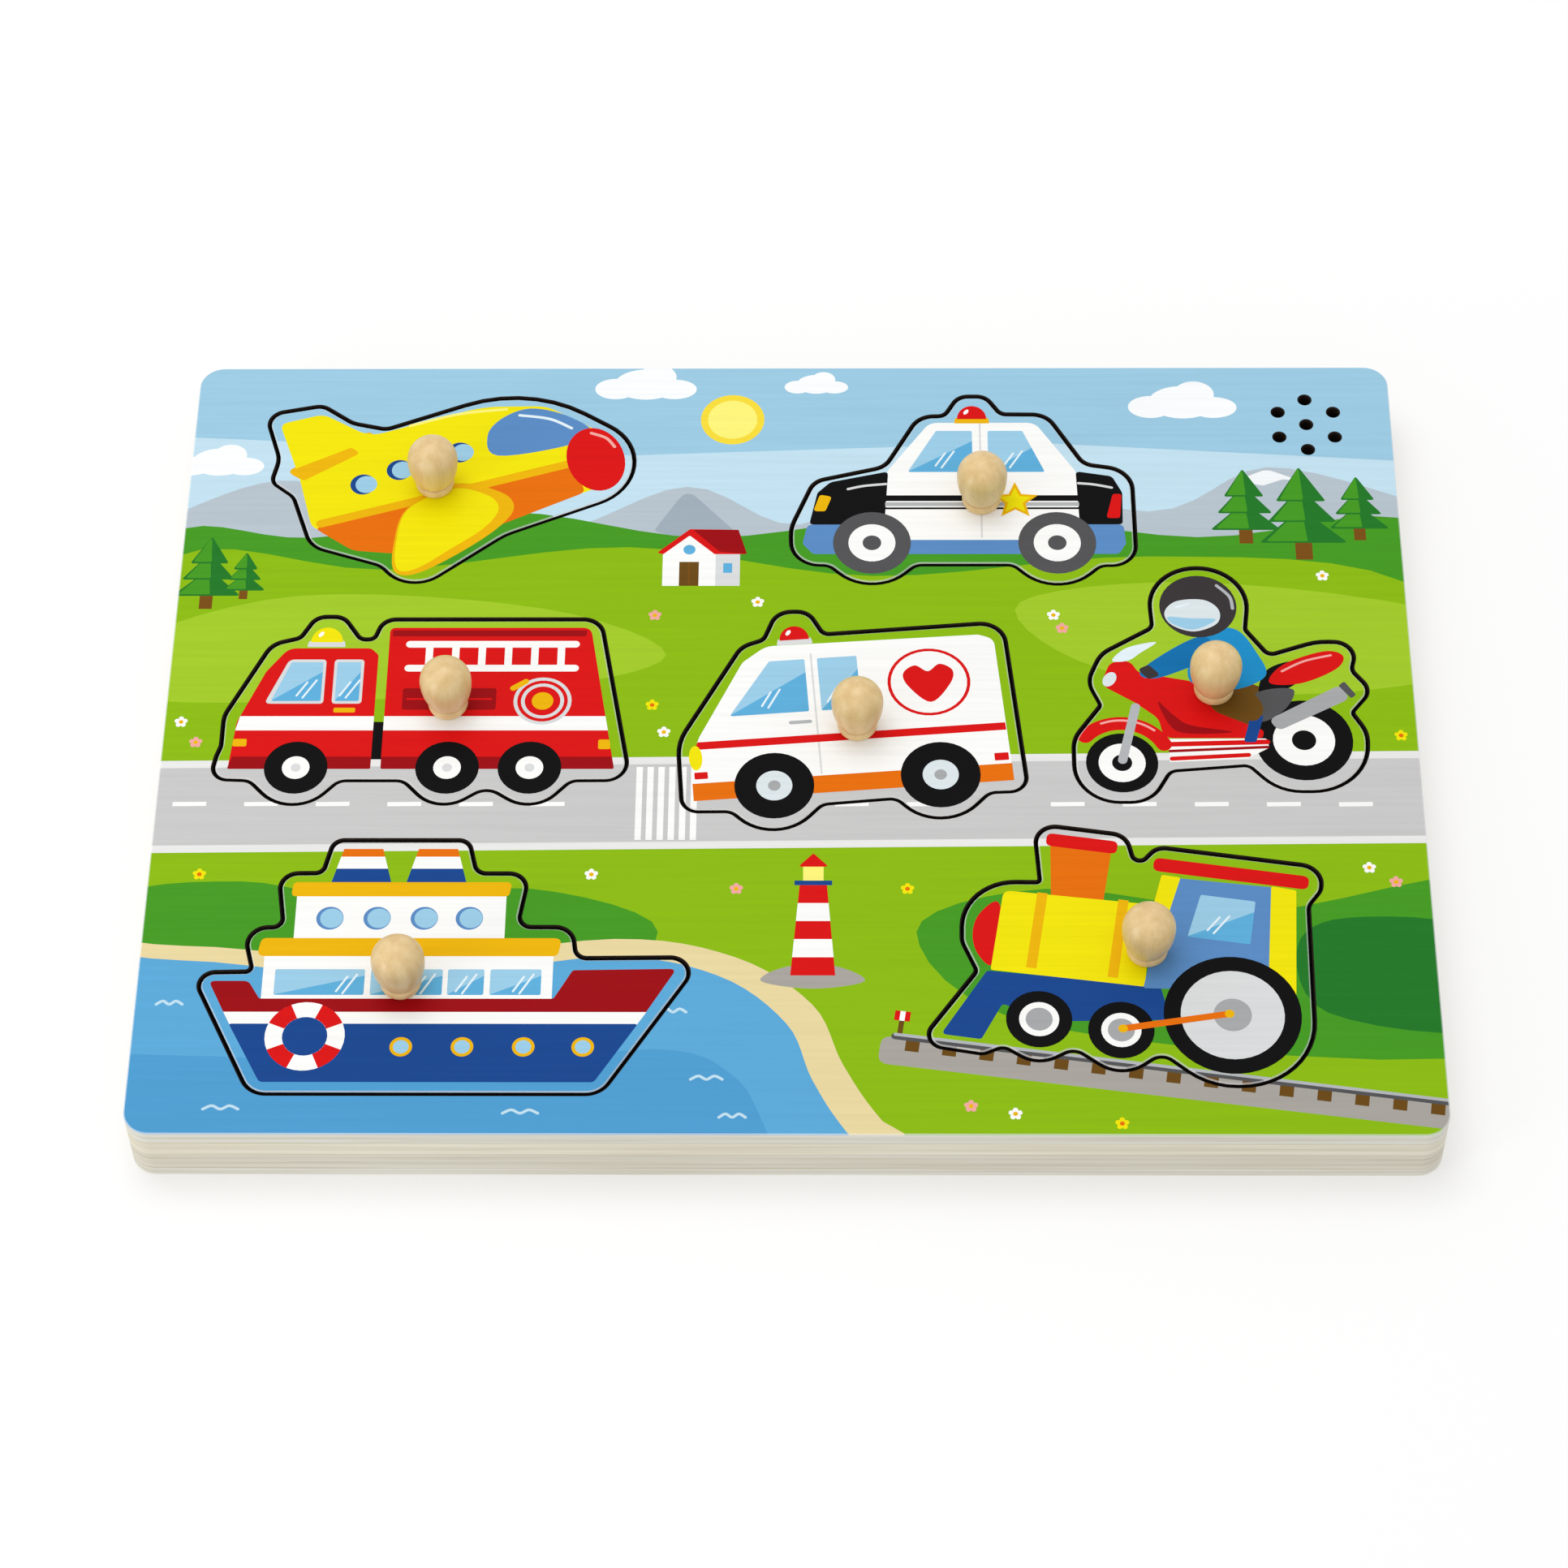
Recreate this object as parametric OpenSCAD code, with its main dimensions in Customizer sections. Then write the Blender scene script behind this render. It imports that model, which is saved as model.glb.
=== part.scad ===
// Wooden peg puzzle with sound: seven vehicle pieces with turned knobs lie flush in a printed board.
// Each pocket has a light sensor in its floor, and the board holds a speaker, a circuit and two cells.
// The origin is the middle of the underside, with +X to the right, +Y to the back and +Z up.

/* [Board] */
// Width of the board, left to right
board_w = 300; // [250:1:340]
// Depth of the board, front to back
board_d = 225; // [190:1:260]
// Radius of the board's four corners
board_corner_r = 6; // [3:0.5:10]
// Thickness of the printed top board, and so of the pieces
picture_t = 4; // [3.5:0.5:8]
// Thickness of the board under the pockets
floor_t = 5; // [4.5:0.5:8]
// Thickness of the core board that is routed out for the wiring
core_t = 6; // [5.5:0.5:9]
// Thickness of the back panel
back_t = 3; // [2.5:0.5:5]
// Margin between the board's left edge and the outermost drawn corner
left_margin = 12.3; // [9:0.1:20]
// Margin at the board's right edge
right_margin = 10.3; // [9:0.1:20]
// Margin at the board's front edge
front_margin = 10.7; // [9:0.1:20]
// Margin at the board's back edge, where the outermost drawn corner is a round one
back_margin = 5.9; // [4:0.1:15]
// Width of the cut between a piece and its pocket
cut_gap = 0.8; // [0.4:0.1:1.2]

/* [Knobs] */
// Height of a knob above its piece
knob_h = 16; // [14:0.5:22]
// Widest diameter of a knob's head
knob_head_d = 12.4; // [10:0.2:16]
// Height of the widest point above the piece
knob_widest_h = 9.8; // [7:0.2:12]
// Diameter of the waist between the head and the foot
knob_waist_d = 8.8; // [7:0.2:10]
// Diameter of the foot
knob_foot_d = 9.6; // [8:0.2:12]
// Height of the foot
knob_foot_h = 2.4; // [1.5:0.1:4]

/* [Knob screws] */
// Diameter of a knob screw's shank
knob_screw_d = 2.4; // [2:0.1:3.5]
// Diameter of a knob screw's countersunk head
knob_screw_head_d = 4.8; // [4:0.1:6.5]
// Height of a knob screw's countersunk head
knob_screw_head_h = 1.4; // [1:0.1:2]
// Length of a knob screw
knob_screw_l = 11; // [8:0.5:13]

/* [Speaker] */
// Distance of the sound holes' middle from the board's right edge
grille_from_right = 21.25; // [20.5:0.25:30]
// Distance of the sound holes' middle from the board's back edge
grille_from_back = 18.8; // [18.5:0.1:25]
// Diameter of one sound hole
grille_hole_d = 3; // [2:0.1:4]
// Radius of the ring of sound holes
grille_ring_r = 8; // [6:0.5:10]
// Number of sound holes in the ring
grille_ring_n = 6; // [4:1:8]
// Outer diameter of the speaker
speaker_d = 28.4; // [27:0.2:29]
// Depth of the speaker's basket
basket_h = 4.8; // [4.6:0.1:6]
// Diameter of the basket's back plate
basket_back_d = 16; // [15:0.5:18]
// Diameter of the speaker's magnet
magnet_d = 13; // [10:0.5:14]
// Height of the speaker's magnet
magnet_h = 3; // [2:0.1:3.5]
// Thickness of the foam ring in front of the speaker
gasket_t = 0.6; // [0.4:0.1:1]

/* [Light sensors] */
// Diameter of a light sensor
sensor_d = 5; // [4:0.1:6]
// Thickness of a light sensor
sensor_t = 2; // [1.5:0.1:2.5]
// Depth of a sensor's face below the floor of its pocket
sensor_set = 1; // [0.5:0.1:1.5]
// Diameter of a sensor's wire legs
leg_d = 0.5; // [0.4:0.05:0.8]
// Distance between a sensor's two legs
leg_pitch = 2.5; // [2:0.1:3]

/* [Leads] */
// Width of a flat twin lead
lead_w = 2.6; // [2:0.1:3.5]
// Thickness of a flat twin lead
lead_t = 0.7; // [0.5:0.1:1]
// Diameter of a lead's end under its sensor
lead_end_d = 4.4; // [4:0.1:5]
// Depth of the grooves that hold the leads
groove_depth = 2; // [1.2:0.1:3]
// Clearance of a lead in its groove
groove_gap = 0.7; // [0.3:0.1:1]

/* [Circuit board] */
// Length of the circuit board, left to right
circuit_l = 40; // [38:0.5:48]
// Width of the circuit board, front to back
circuit_w = 26; // [25:0.5:28]
// Thickness of the circuit board
circuit_t = 1.6; // [1:0.2:2]
// Diameter of the sound chip's resin cap
chip_d = 9; // [7:0.5:11]
// Height of the sound chip's resin cap
chip_h = 1.6; // [1:0.1:2.4]
// Diameter of the circuit board's screws
circuit_screw_d = 1.7; // [1.4:0.1:2.2]
// Diameter of the circuit board's screw heads
circuit_screw_head_d = 3.4; // [3:0.1:4]
// Depth of the circuit board's screws in the wood
circuit_screw_grip = 3; // [2:0.5:4]

/* [Cells and battery box] */
// Diameter of one cell
cell_d = 10.5; // [10:0.1:10.6]
// Length of one cell
cell_l = 44.5; // [42:0.5:48]
// Diameter of a cell's raised end
cell_nub_d = 3.8; // [3:0.1:5]
// Height of a cell's raised end
cell_nub_h = 0.8; // [0.6:0.1:1.2]
// Clearance between the cells and the side walls
cell_gap = 0.5; // [0.3:0.1:1]
// Length of a pressed contact spring
spring_l = 5.7; // [4:0.1:7]
// Thickness of the contact plates
contact_t = 0.4; // [0.3:0.1:0.6]
// Thickness of the battery box's walls
box_wall = 1.5; // [1.2:0.1:2]
// Length of the box's end flanges
flange_l = 5.5; // [5:0.5:7]
// Thickness of the box's end flanges
flange_t = 1.4; // [1.2:0.1:1.8]
// Room at the back of the box for the door screw
boss_room = 5.4; // [5:0.1:8]
// Distance of the box from the board's front edge
bay_from_front = 16.5; // [12:0.5:24]

/* [Battery door] */
// Thickness of the battery door
door_t = 2; // [1.8:0.1:2.4]
// Gap around the battery door
door_gap = 0.3; // [0.2:0.05:0.5]
// Diameter of the door's hinge pins
hinge_pin_d = 1.2; // [1:0.1:1.4]
// Diameter of the door screw
door_screw_d = 2; // [1.6:0.1:2.2]
// Diameter of the door screw's head
door_screw_head_d = 3.8; // [3.4:0.1:4.2]
// Length of the door screw
door_screw_l = 6; // [4:0.5:7]

/* [Switch] */
// Length of the switch body, left to right
switch_l = 12; // [10:0.5:16]
// Width of the switch body, front to back
switch_w = 6; // [5:0.5:8]
// Travel of the switch slider
switch_travel = 3; // [2:0.5:4]
// Length of the switch slider
slider_l = 3.4; // [3:0.1:4]
// Width of the switch slider
slider_w = 2; // [1.6:0.1:3]
// Clearance around the switch slider
slider_gap = 0.2; // [0.1:0.05:0.4]

/* [Back panel screws] */
// Diameter of a back panel screw
back_screw_d = 2.6; // [2:0.1:3.5]
// Diameter of a back panel screw's countersunk head
back_screw_head_d = 5.4; // [4.5:0.1:6.5]
// Height of a back panel screw's countersunk head
back_screw_head_h = 1.6; // [1.2:0.1:2.2]
// Length of a back panel screw
back_screw_l = 7.8; // [6:0.1:8]
// Distance of the screws from the board's edge
back_screw_inset = 8; // [6:0.5:9]

/* [Hidden] */
$fn = 48;
e = 0.01;
over = 1;

// Running and seating clearances
pin_gap = 0.06;
screw_gap = 0.05;
seat_gap = 0.3;
touch_gap = 0.1;
cut_out_gap = 0.4;

// Heights of the layers above the surface that the board lies on
core_z = back_t;
floor_z = core_z + core_t;
picture_z = floor_z + floor_t;
top_z = picture_z + picture_t;

// Outlines of the vehicles along the middle of the cut, clockwise, each corner as [x, y, radius]
airplane_outline = [
    [-132.4, 97.2, 4], [-118.4, 100.1, 4], [-110.5, 94.4, 7], [-101.9, 92.4, 5], [-66.5, 106.6, 33],
    [-24.1, 79.3, 13.8], [-70.7, 59, 15], [-93.2, 40.9, 9], [-100.8, 49.5, 6], [-118.4, 55.4, 7],
    [-123.7, 71, 5], [-129.5, 75.7, 3], [-128, 83, 8]
];
police_car_outline = [
    [41.8, 102.9, 4], [48.4, 102.9, 4], [52.2, 97.1, 3], [63.6, 97, 6], [72.6, 81, 5], [84.4, 79, 7],
    [84.7, 49.4, 6], [76, 49.4, 4], [65.2, 39.2, 11.5], [54.6, 49.6, 4], [30.6, 49.6, 4], [20, 39.4, 11.5],
    [9.4, 49.5, 4], [0.3, 49.7, 7], [0, 61, 12], [5.6, 75.6, 5], [23.3, 80.2, 6], [31.9, 96.5, 6],
    [38.2, 96.5, 3]
];
fire_truck_outline = [
    [-115.4, 33.5, 4], [-108.9, 33.5, 4], [-104.4, 26.6, 2.5], [-100.9, 26.7, 2], [-98.9, 32.7, 4],
    [-46.2, 32.7, 5], [-37.8, -14.9, 5], [-51.8, -15, 4], [-60.4, -24.4, 8.5], [-71.7, -16.8, 5],
    [-83, -24.4, 8.5], [-91.6, -15, 4], [-107, -15, 4], [-117.6, -26.6, 9.9], [-128.3, -15, 4],
    [-137.7, -14.6, 3.5], [-136.6, -8, 4], [-135.7, -5, 4], [-135.7, 3.8, 8], [-125.7, 25.2, 6],
    [-118.9, 27.1, 3]
];
ambulance_outline = [
    [-3.2, 35, 5], [4.2, 35, 4.5], [8, 28.1, 2.5], [51.5, 31.8, 6], [56.7, -18, 4], [47.6, -18.4, 4],
    [36.3, -30.8, 11.4], [25.6, -20.1, 4], [8, -21.8, 4], [-2.9, -33.9, 11.3], [-13.5, -23.9, 4],
    [-25, -24, 4], [-26.4, -4, 14], [-11.7, 24.4, 6], [-6.3, 26.5, 3]
];
motorbike_outline = [
    [87, 48.3, 11.5], [112.3, 48.3, 11.5], [110.2, 29.6, 2], [115.6, 21.7, 2.5], [127.5, 25.9, 15],
    [137.3, 25.6, 4.5], [135.2, 17.4, 3], [139.7, 11.3, 4], [134.6, 4.8, 1.5], [137.9, -1, 9],
    [137.4, -18.1, 13.8], [116.3, -18.1, 12], [109.4, -10.5, 3], [90.6, -12.2, 3], [85.6, -21.2, 8],
    [68, -21.2, 10.5], [68, -3, 9], [74.8, 6.9, 1.5], [71.8, 14, 7], [75.2, 22.2, 8], [88, 30.2, 2.5]
];
ship_outline = [
    [-106.8, -32.4, 3], [-75.2, -32.4, 3], [-73, -41.8, 3], [-60.6, -41.8, 4], [-62.9, -56.8, 3],
    [-50, -56.8, 4.5], [-48.9, -65.4, 3], [-19.4, -65.1, 4.2], [-42.1, -101.8, 6], [-121.8, -101.8, 6],
    [-137.5, -69.4, 3.5], [-123.3, -69.1, 1.5], [-126.4, -56.9, 4.5], [-117, -56.9, 2.5],
    [-119.2, -41.8, 4], [-108.9, -41.7, 2.5]
];
train_outline = [
    [58, -27.7, 4.5], [79.3, -30.9, 4.5], [81.4, -40.4, 2], [86.7, -34.3, 4], [125, -40, 5],
    [124.2, -46.4, 4], [121.1, -50.6, 4], [120.5, -99.5, 17.5], [96.2, -99.5, 17], [85.7, -90.7, 3.8],
    [76.4, -97.4, 8.5], [65.75, -89.45, 4], [57.5, -94, 7.6], [49.6, -88.9, 3], [45, -91, 3],
    [30.3, -88.4, 3.5], [44, -68.7, 2], [40.6, -60.5, 6], [40.9, -44, 12.5], [59.1, -44.2, 1]
];

// Each vehicle as [name, outline, knob place, sensor place, colour], as drawn
VEHICLES = [
    ["airplane", airplane_outline, [-88.7, 74.8], [-98, 72], "gold"],
    ["police_car", police_car_outline, [47, 69.5], [40, 72], "lightsteelblue"],
    ["fire_truck", fire_truck_outline, [-82, 7], [-95, 5], "firebrick"],
    ["ambulance", ambulance_outline, [16.3, 0.8], [10, 12], "ivory"],
    ["motorbike", motorbike_outline, [101.9, 11.3], [108, 5], "slateblue"],
    ["ship", ship_outline, [-88.9, -72.3], [-75, -75], "royalblue"],
    ["train", train_outline, [83.2, -63.3], [70, -72], "orangered"]
];

// The drawn vehicles fill the board up to its margins
drawn_x = [for (v = VEHICLES, corner = v[1]) corner[0]];
drawn_y = [for (v = VEHICLES, corner = v[1]) corner[1]];
drawn_from = [min(drawn_x), min(drawn_y)];
drawn_size = [max(drawn_x), max(drawn_y)] - drawn_from;
filled_from = [left_margin - board_w / 2, front_margin - board_d / 2];
filled_size = [board_w - left_margin - right_margin, board_d - front_margin - back_margin];
stretch = [filled_size[0] / drawn_size[0], filled_size[1] / drawn_size[1]];
corner_stretch = pow(min(stretch), 2) / max(stretch);
function on_board(at) = [for (i = [0, 1]) filled_from[i] + (at[i] - drawn_from[i]) * stretch[i]];
function fitted(corners) = [for (c = corners) concat(on_board(c), c[2] * corner_stretch)];

function vehicle_name(v) = v[0];
function vehicle_outline(v) = fitted(v[1]);
function knob_at(v) = on_board(v[2]);
function sensor_at(v) = on_board(v[3]);
function vehicle_colour(v) = v[4];

// Round the corners of an outline, with one point for each few degrees of an arc
arc_step = 8;
least_r = 0.2;
function unit(v) = v / norm(v);
function place(corner) = [corner[0], corner[1]];
function cross_of(a, b) = a[0] * b[1] - a[1] * b[0];
function turned(v, angle) = [v[0] * cos(angle) - v[1] * sin(angle), v[0] * sin(angle) + v[1] * cos(angle)];
function left_of(v) = [-v[1], v[0]];
function corner_arc(before, here, after) =
    let (
        a = unit(place(before) - place(here)),
        b = unit(place(after) - place(here)),
        half = acos(a * b) / 2,
        turn = 180 - 2 * half,
        centre = place(here) + unit(a + b) * here[2] / sin(half),
        start = place(here) + a * here[2] / tan(half) - centre,
        side = sign(cross_of(b, a)),
        n = max(1, ceil(turn / arc_step))
    )
    [for (k = [0 : n]) centre + turned(start, side * turn * k / n)];
function rounded(corners) =
    let (n = len(corners))
    [for (i = [0 : n - 1]) each corner_arc(corners[(i + n - 1) % n], corners[i], corners[(i + 1) % n])];

// Move the edges of a clockwise outline outwards, with its arcs kept on their centres
function grown(corners, d) =
    let (n = len(corners))
    [for (i = [0 : n - 1])
        let (
            here = place(corners[i]),
            way_in = unit(here - place(corners[(i + n - 1) % n])),
            way_out = unit(place(corners[(i + 1) % n]) - here),
            n_in = left_of(way_in),
            n_out = left_of(way_out),
            bulge = cross_of(way_in, way_out) < 0 ? d : -d,
            moved = here + d * (n_in + n_out) / (1 + n_in * n_out)
        )
        [moved[0], moved[1], max(least_r, corners[i][2] + bulge)]];

// Board outline, with its four round corners
function board_outline() = [
    [-board_w / 2, board_d / 2, board_corner_r], [board_w / 2, board_d / 2, board_corner_r],
    [board_w / 2, -board_d / 2, board_corner_r], [-board_w / 2, -board_d / 2, board_corner_r]
];
module layer(z, t) translate([0, 0, z]) linear_extrude(t) polygon(rounded(board_outline()));

// Flat bar between two points, and a block by its middle and its lowest and highest face
module bar(from, to, w)
    translate(from) rotate(atan2(to[1] - from[1], to[0] - from[0])) translate([0, -w / 2])
        square([norm(to - from), w]);
module block(x, y, l, w, z0, z1) translate([x - l / 2, y - w / 2, z0]) cube([l, w, z1 - z0]);

// Countersunk screw that points up, with a cross recess in its head, and the hole that takes it
recess_share = 0.6;
module screw(d, head_d, head_h, l)
    difference() {
        rotate_extrude() polygon([[0, 0], [head_d / 2, 0], [d / 2, head_h], [d / 2, l - d], [0, l]]);
        for (angle = [0, 90]) rotate(angle)
            block(0, 0, recess_share * head_d, recess_share * d / 2, -over, recess_share * head_h);
    }
module screw_hole(d, head_d, head_h, l, gap)
    rotate_extrude() polygon([
        [0, -over], [head_d / 2 + gap, -over], [head_d / 2 + gap, 0], [d / 2 + gap, head_h],
        [d / 2 + gap, l + gap], [0, l + gap]
    ]);

// Speaker place and heights, down from the underside of the printed board
speaker_at = [board_w / 2 - grille_from_right, board_d / 2 - grille_from_back];
flange_thick = 1;
plate_thick = 0.8;
basket_top = picture_z - gasket_t;
basket_z = basket_top - basket_h;
rim_w = 1.5;
ledge_drop = 0.5;
ledge_w = 1;
cone_t = 0.3;
coil_r = 3;
coil_t = 0.4;
coil_h = 1;
magnet_room = 3;

// Circuit board place and heights, just under the pocket floor and the ambulance's sensor
AMBULANCE = VEHICLES[3];
circuit_at = sensor_at(AMBULANCE);
circuit_top = floor_z - lead_t;
circuit_z = circuit_top - circuit_t;
circuit_gap = 0.5;
pad_inset = 2.5;
circuit_screw_head_h = 1.2;
spacer_d = 3.2;
circuit_screw_inset = 3.5;
circuit_screw_x = circuit_l / 2 - circuit_screw_inset;
circuit_screw_y = circuit_w / 2 - circuit_screw_inset;
circuit_screw_places = [
    for (side = [-1, 1]) circuit_at + [side * circuit_l / 4, circuit_screw_y],
    for (side = [-1, 1]) circuit_at + [side * circuit_screw_x, -circuit_screw_y]
];
function pad_at(target) =
    let (way = target - circuit_at)
    circuit_at + way * min((circuit_l / 2 - pad_inset) / max(e, abs(way[0])),
                           (circuit_w / 2 - pad_inset) / max(e, abs(way[1])));

// Battery box place and sizes, worked out from the two cells that lie side by side
bay_x = 5;
bay_front = bay_from_front - board_d / 2;
rim_z = 0.2;
partition_t = 1;
bay_w = 2 * cell_d + 3 * cell_gap;
chamber_l = cell_l + spring_l + 2 * contact_t;
bay_l = chamber_l + partition_t + boss_room;
box_w = bay_w + 2 * box_wall;
box_l = bay_l + 2 * box_wall;
box_y = bay_front + box_l / 2;
chamber_front = bay_front + box_wall;
chamber_back = chamber_front + chamber_l;
box_back = bay_front + box_l;
door_z = rim_z + touch_gap;
door_top = door_z + door_t;
cell_z = door_top + seat_gap + cell_d / 2;
roof_z = cell_z + cell_d / 2 + touch_gap;
cell_pitch = cell_d + cell_gap;
cell_x = [bay_x - cell_pitch / 2, bay_x + cell_pitch / 2];
flange_screw_l = 6.5;
flange_screw_places = [
    for (side = [-1, 1]) [bay_x + side * box_w / 3, bay_front - flange_l / 2],
    for (side = [-1, 1]) [bay_x + side * box_w / 3, box_back + flange_l / 2]
];
flange_screw_d = 2;
flange_screw_head_d = 4;
flange_screw_head_h = 1.1;
flange_screw_z = rim_z + touch_gap;

// Hinge of the battery door at its front end, and its screw at the back
hinge_y = chamber_front + door_gap + door_t / 2;
hinge_z = door_z + door_t / 2;
door_w = bay_w - 2 * door_gap;
door_back = chamber_front + bay_l - door_gap;
hinge_pin_l = box_w - 2 * touch_gap;
door_screw_at = [bay_x, chamber_back + partition_t + boss_room / 2];
door_screw_z = door_z + touch_gap;
door_screw_head_h = 1;
boss_gap = 0.5;
boss_wall = 0.8;

// Switch place and heights, between the back panel and the pocket floor
switch_from_box = 14.25;
switch_from_front = 26;
switch_at = [bay_x + box_w / 2 + switch_from_box, bay_front + switch_from_front];
switch_top = circuit_top;
slot_l = slider_l + switch_travel + 2 * slider_gap;
slot_h = 2.5;
slider_z = 0.6;
slider_at = switch_at - [switch_travel / 2, 0];
battery_pad_left = 2;
battery_lead_x = circuit_at[0] - battery_pad_left;

// Screws that hold the back panel, in the solid margin of the core board, at shares of each edge
back_screw_z = touch_gap;
long_edge_shares = [-1 / 3, -2 / 15, 2 / 15, 1 / 3];
short_edge_shares = [-2 / 9, 2 / 9];
back_screw_places = [
    for (side = [-1, 1], s = long_edge_shares) [s * board_w, side * (board_d / 2 - back_screw_inset)],
    for (side = [-1, 1], s = short_edge_shares) [side * (board_w / 2 - back_screw_inset), s * board_d]
];

// Vehicles whose sensor has a lead: all but the one that stands on the circuit board
WIRED = [for (v = VEHICLES) if (norm(sensor_at(v) - circuit_at) > circuit_l / 2) v];

// Printed top board with the seven pockets cut through it and the sound holes
module picture_board() color("yellowgreen")
    translate([0, 0, picture_z]) linear_extrude(picture_t)
        difference() {
            polygon(rounded(board_outline()));
            for (v = VEHICLES) polygon(rounded(grown(vehicle_outline(v), cut_gap / 2)));
            translate(speaker_at) {
                circle(d = grille_hole_d);
                for (k = [0 : grille_ring_n - 1])
                    rotate(90 + 360 * k / grille_ring_n) translate([grille_ring_r, 0]) circle(d = grille_hole_d);
            }
        }

// Plywood floor of the pockets, with the sensor holes, the speaker hole and the battery box's cut-out
module pocket_floor() color("burlywood")
    difference() {
        layer(floor_z, floor_t);
        for (v = VEHICLES)
            translate(concat(sensor_at(v), floor_z - over))
                cylinder(d = sensor_d + 2 * seat_gap, h = floor_t + 2 * over);
        translate(concat(speaker_at, floor_z - over))
            cylinder(d = speaker_d + 2 * seat_gap, h = floor_t + 2 * over);
        block(bay_x, box_y, box_w + 2 * cut_out_gap, box_l + 2 * cut_out_gap, floor_z - over, picture_z + over);
        for (at = circuit_screw_places)
            translate(concat(at, floor_z - over))
                cylinder(d = circuit_screw_d + 2 * screw_gap, h = circuit_screw_grip + touch_gap + over);
    }

// Core board, routed out for the circuit, the switch, the battery box, the magnet and the leads
module core_board() color("tan")
    difference() {
        layer(core_z, core_t);
        block(circuit_at[0], circuit_at[1], circuit_l + 2 * circuit_gap, circuit_w + 2 * circuit_gap,
              core_z - over, floor_z + over);
        block(switch_at[0], switch_at[1], switch_l + 2 * circuit_gap, switch_w + 2 * circuit_gap,
              core_z - over, floor_z + over);
        block(bay_x, box_y, box_w + 2 * cut_out_gap, box_l + 2 * cut_out_gap, core_z - over, floor_z + over);
        translate(concat(speaker_at, core_z - over))
            cylinder(d = basket_back_d + magnet_room, h = core_t + 2 * over);
        translate([0, 0, floor_z - groove_depth]) linear_extrude(groove_depth + over) grooves();
        for (at = back_screw_places)
            translate(concat(at, back_screw_z))
                screw_hole(back_screw_d, back_screw_head_d, back_screw_head_h, back_screw_l, screw_gap);
        for (at = flange_screw_places)
            translate(concat(at, flange_screw_z))
                screw_hole(flange_screw_d, flange_screw_head_d, flange_screw_head_h, flange_screw_l, screw_gap);
    }
module grooves() {
    groove_w = lead_w + 2 * groove_gap;
    for (v = WIRED) {
        bar(circuit_at, sensor_at(v), groove_w);
        translate(sensor_at(v)) circle(d = lead_end_d + 2 * groove_gap);
    }
    bar(circuit_at, speaker_at, groove_w);
    bar(circuit_at, switch_at, groove_w);
    bar([battery_lead_x, circuit_at[1]], [battery_lead_x, box_back - over], groove_w);
}

// Back panel with the battery opening, the seats for the box's flanges and the switch slot
module back_panel() color("wheat")
    difference() {
        layer(0, back_t);
        block(bay_x, box_y, box_w + 2 * cut_out_gap, box_l + 2 * cut_out_gap, -over, back_t + over);
        block(bay_x, box_y, box_w + 2 * cut_out_gap, box_l + 2 * (flange_l + cut_out_gap),
              -over, rim_z + flange_t);
        block(switch_at[0], switch_at[1], slot_l, slider_w + 2 * cut_out_gap, -over, back_t + over);
        for (at = back_screw_places)
            translate(concat(at, back_screw_z))
                screw_hole(back_screw_d, back_screw_head_d, back_screw_head_h, back_screw_l, screw_gap);
        for (at = flange_screw_places)
            translate(concat(at, flange_screw_z))
                screw_hole(flange_screw_d, flange_screw_head_d, flange_screw_head_h, flange_screw_l, screw_gap);
    }

// One vehicle piece, with the countersunk hole of its knob screw
knob_screw_set = 0.1;
module piece(v) color(vehicle_colour(v))
    difference() {
        translate([0, 0, picture_z]) linear_extrude(picture_t)
            polygon(rounded(grown(vehicle_outline(v), -cut_gap / 2)));
        translate(concat(knob_at(v), picture_z + knob_screw_set)) knob_screw_hole();
    }
module knob_screw_hole()
    screw_hole(knob_screw_d, knob_screw_head_d, knob_screw_head_h, knob_screw_l, screw_gap);

// Turned knob: a beaded foot, a waist and an egg-shaped head, with the blind hole of its screw
knob_step = 7.5;
foot_bead = 0.5;
function knob_profile() =
    let (
        head_r = knob_head_d / 2,
        waist_angle = acos(knob_waist_d / knob_head_d),
        below = (knob_widest_h - knob_foot_h) / sin(waist_angle),
        above = knob_h - knob_widest_h,
        steps = ceil(waist_angle / knob_step)
    )
    concat(
        [[0, 0]],
        [for (t = [-90 : 30 : 90])
            [knob_foot_d / 2 - foot_bead * (1 - cos(t)), knob_foot_h * (1 + sin(t)) / 2]],
        [for (k = [0 : steps])
            let (t = waist_angle * (1 - k / steps)) [head_r * cos(t), knob_widest_h - below * sin(t)]],
        [for (t = [knob_step : knob_step : 90 - knob_step]) [head_r * cos(t), knob_widest_h + above * sin(t)]],
        [[0, knob_h]]
    );
module knob(v) color("navajowhite")
    difference() {
        translate(concat(knob_at(v), top_z)) rotate_extrude() polygon(knob_profile());
        translate(concat(knob_at(v), picture_z + knob_screw_set)) knob_screw_hole();
    }
module knob_screw(v) color("silver")
    translate(concat(knob_at(v), picture_z + knob_screw_set))
        screw(knob_screw_d, knob_screw_head_d, knob_screw_head_h, knob_screw_l);

// Light sensors, face up in the pocket floor, with their legs on the leads or on the circuit board
module light_sensors() color("peru")
    for (v = VEHICLES) {
        wired = norm(sensor_at(v) - circuit_at) > circuit_l / 2;
        foot_z = wired ? floor_z : circuit_top;
        disc_z = picture_z - sensor_set - sensor_t;
        translate(sensor_at(v)) {
            translate([0, 0, disc_z]) cylinder(d = sensor_d, h = sensor_t);
            for (side = [-1, 1])
                translate([side * leg_pitch / 2, 0, foot_z]) cylinder(d = leg_d, h = disc_z - foot_z + leg_d);
        }
    }

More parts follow.
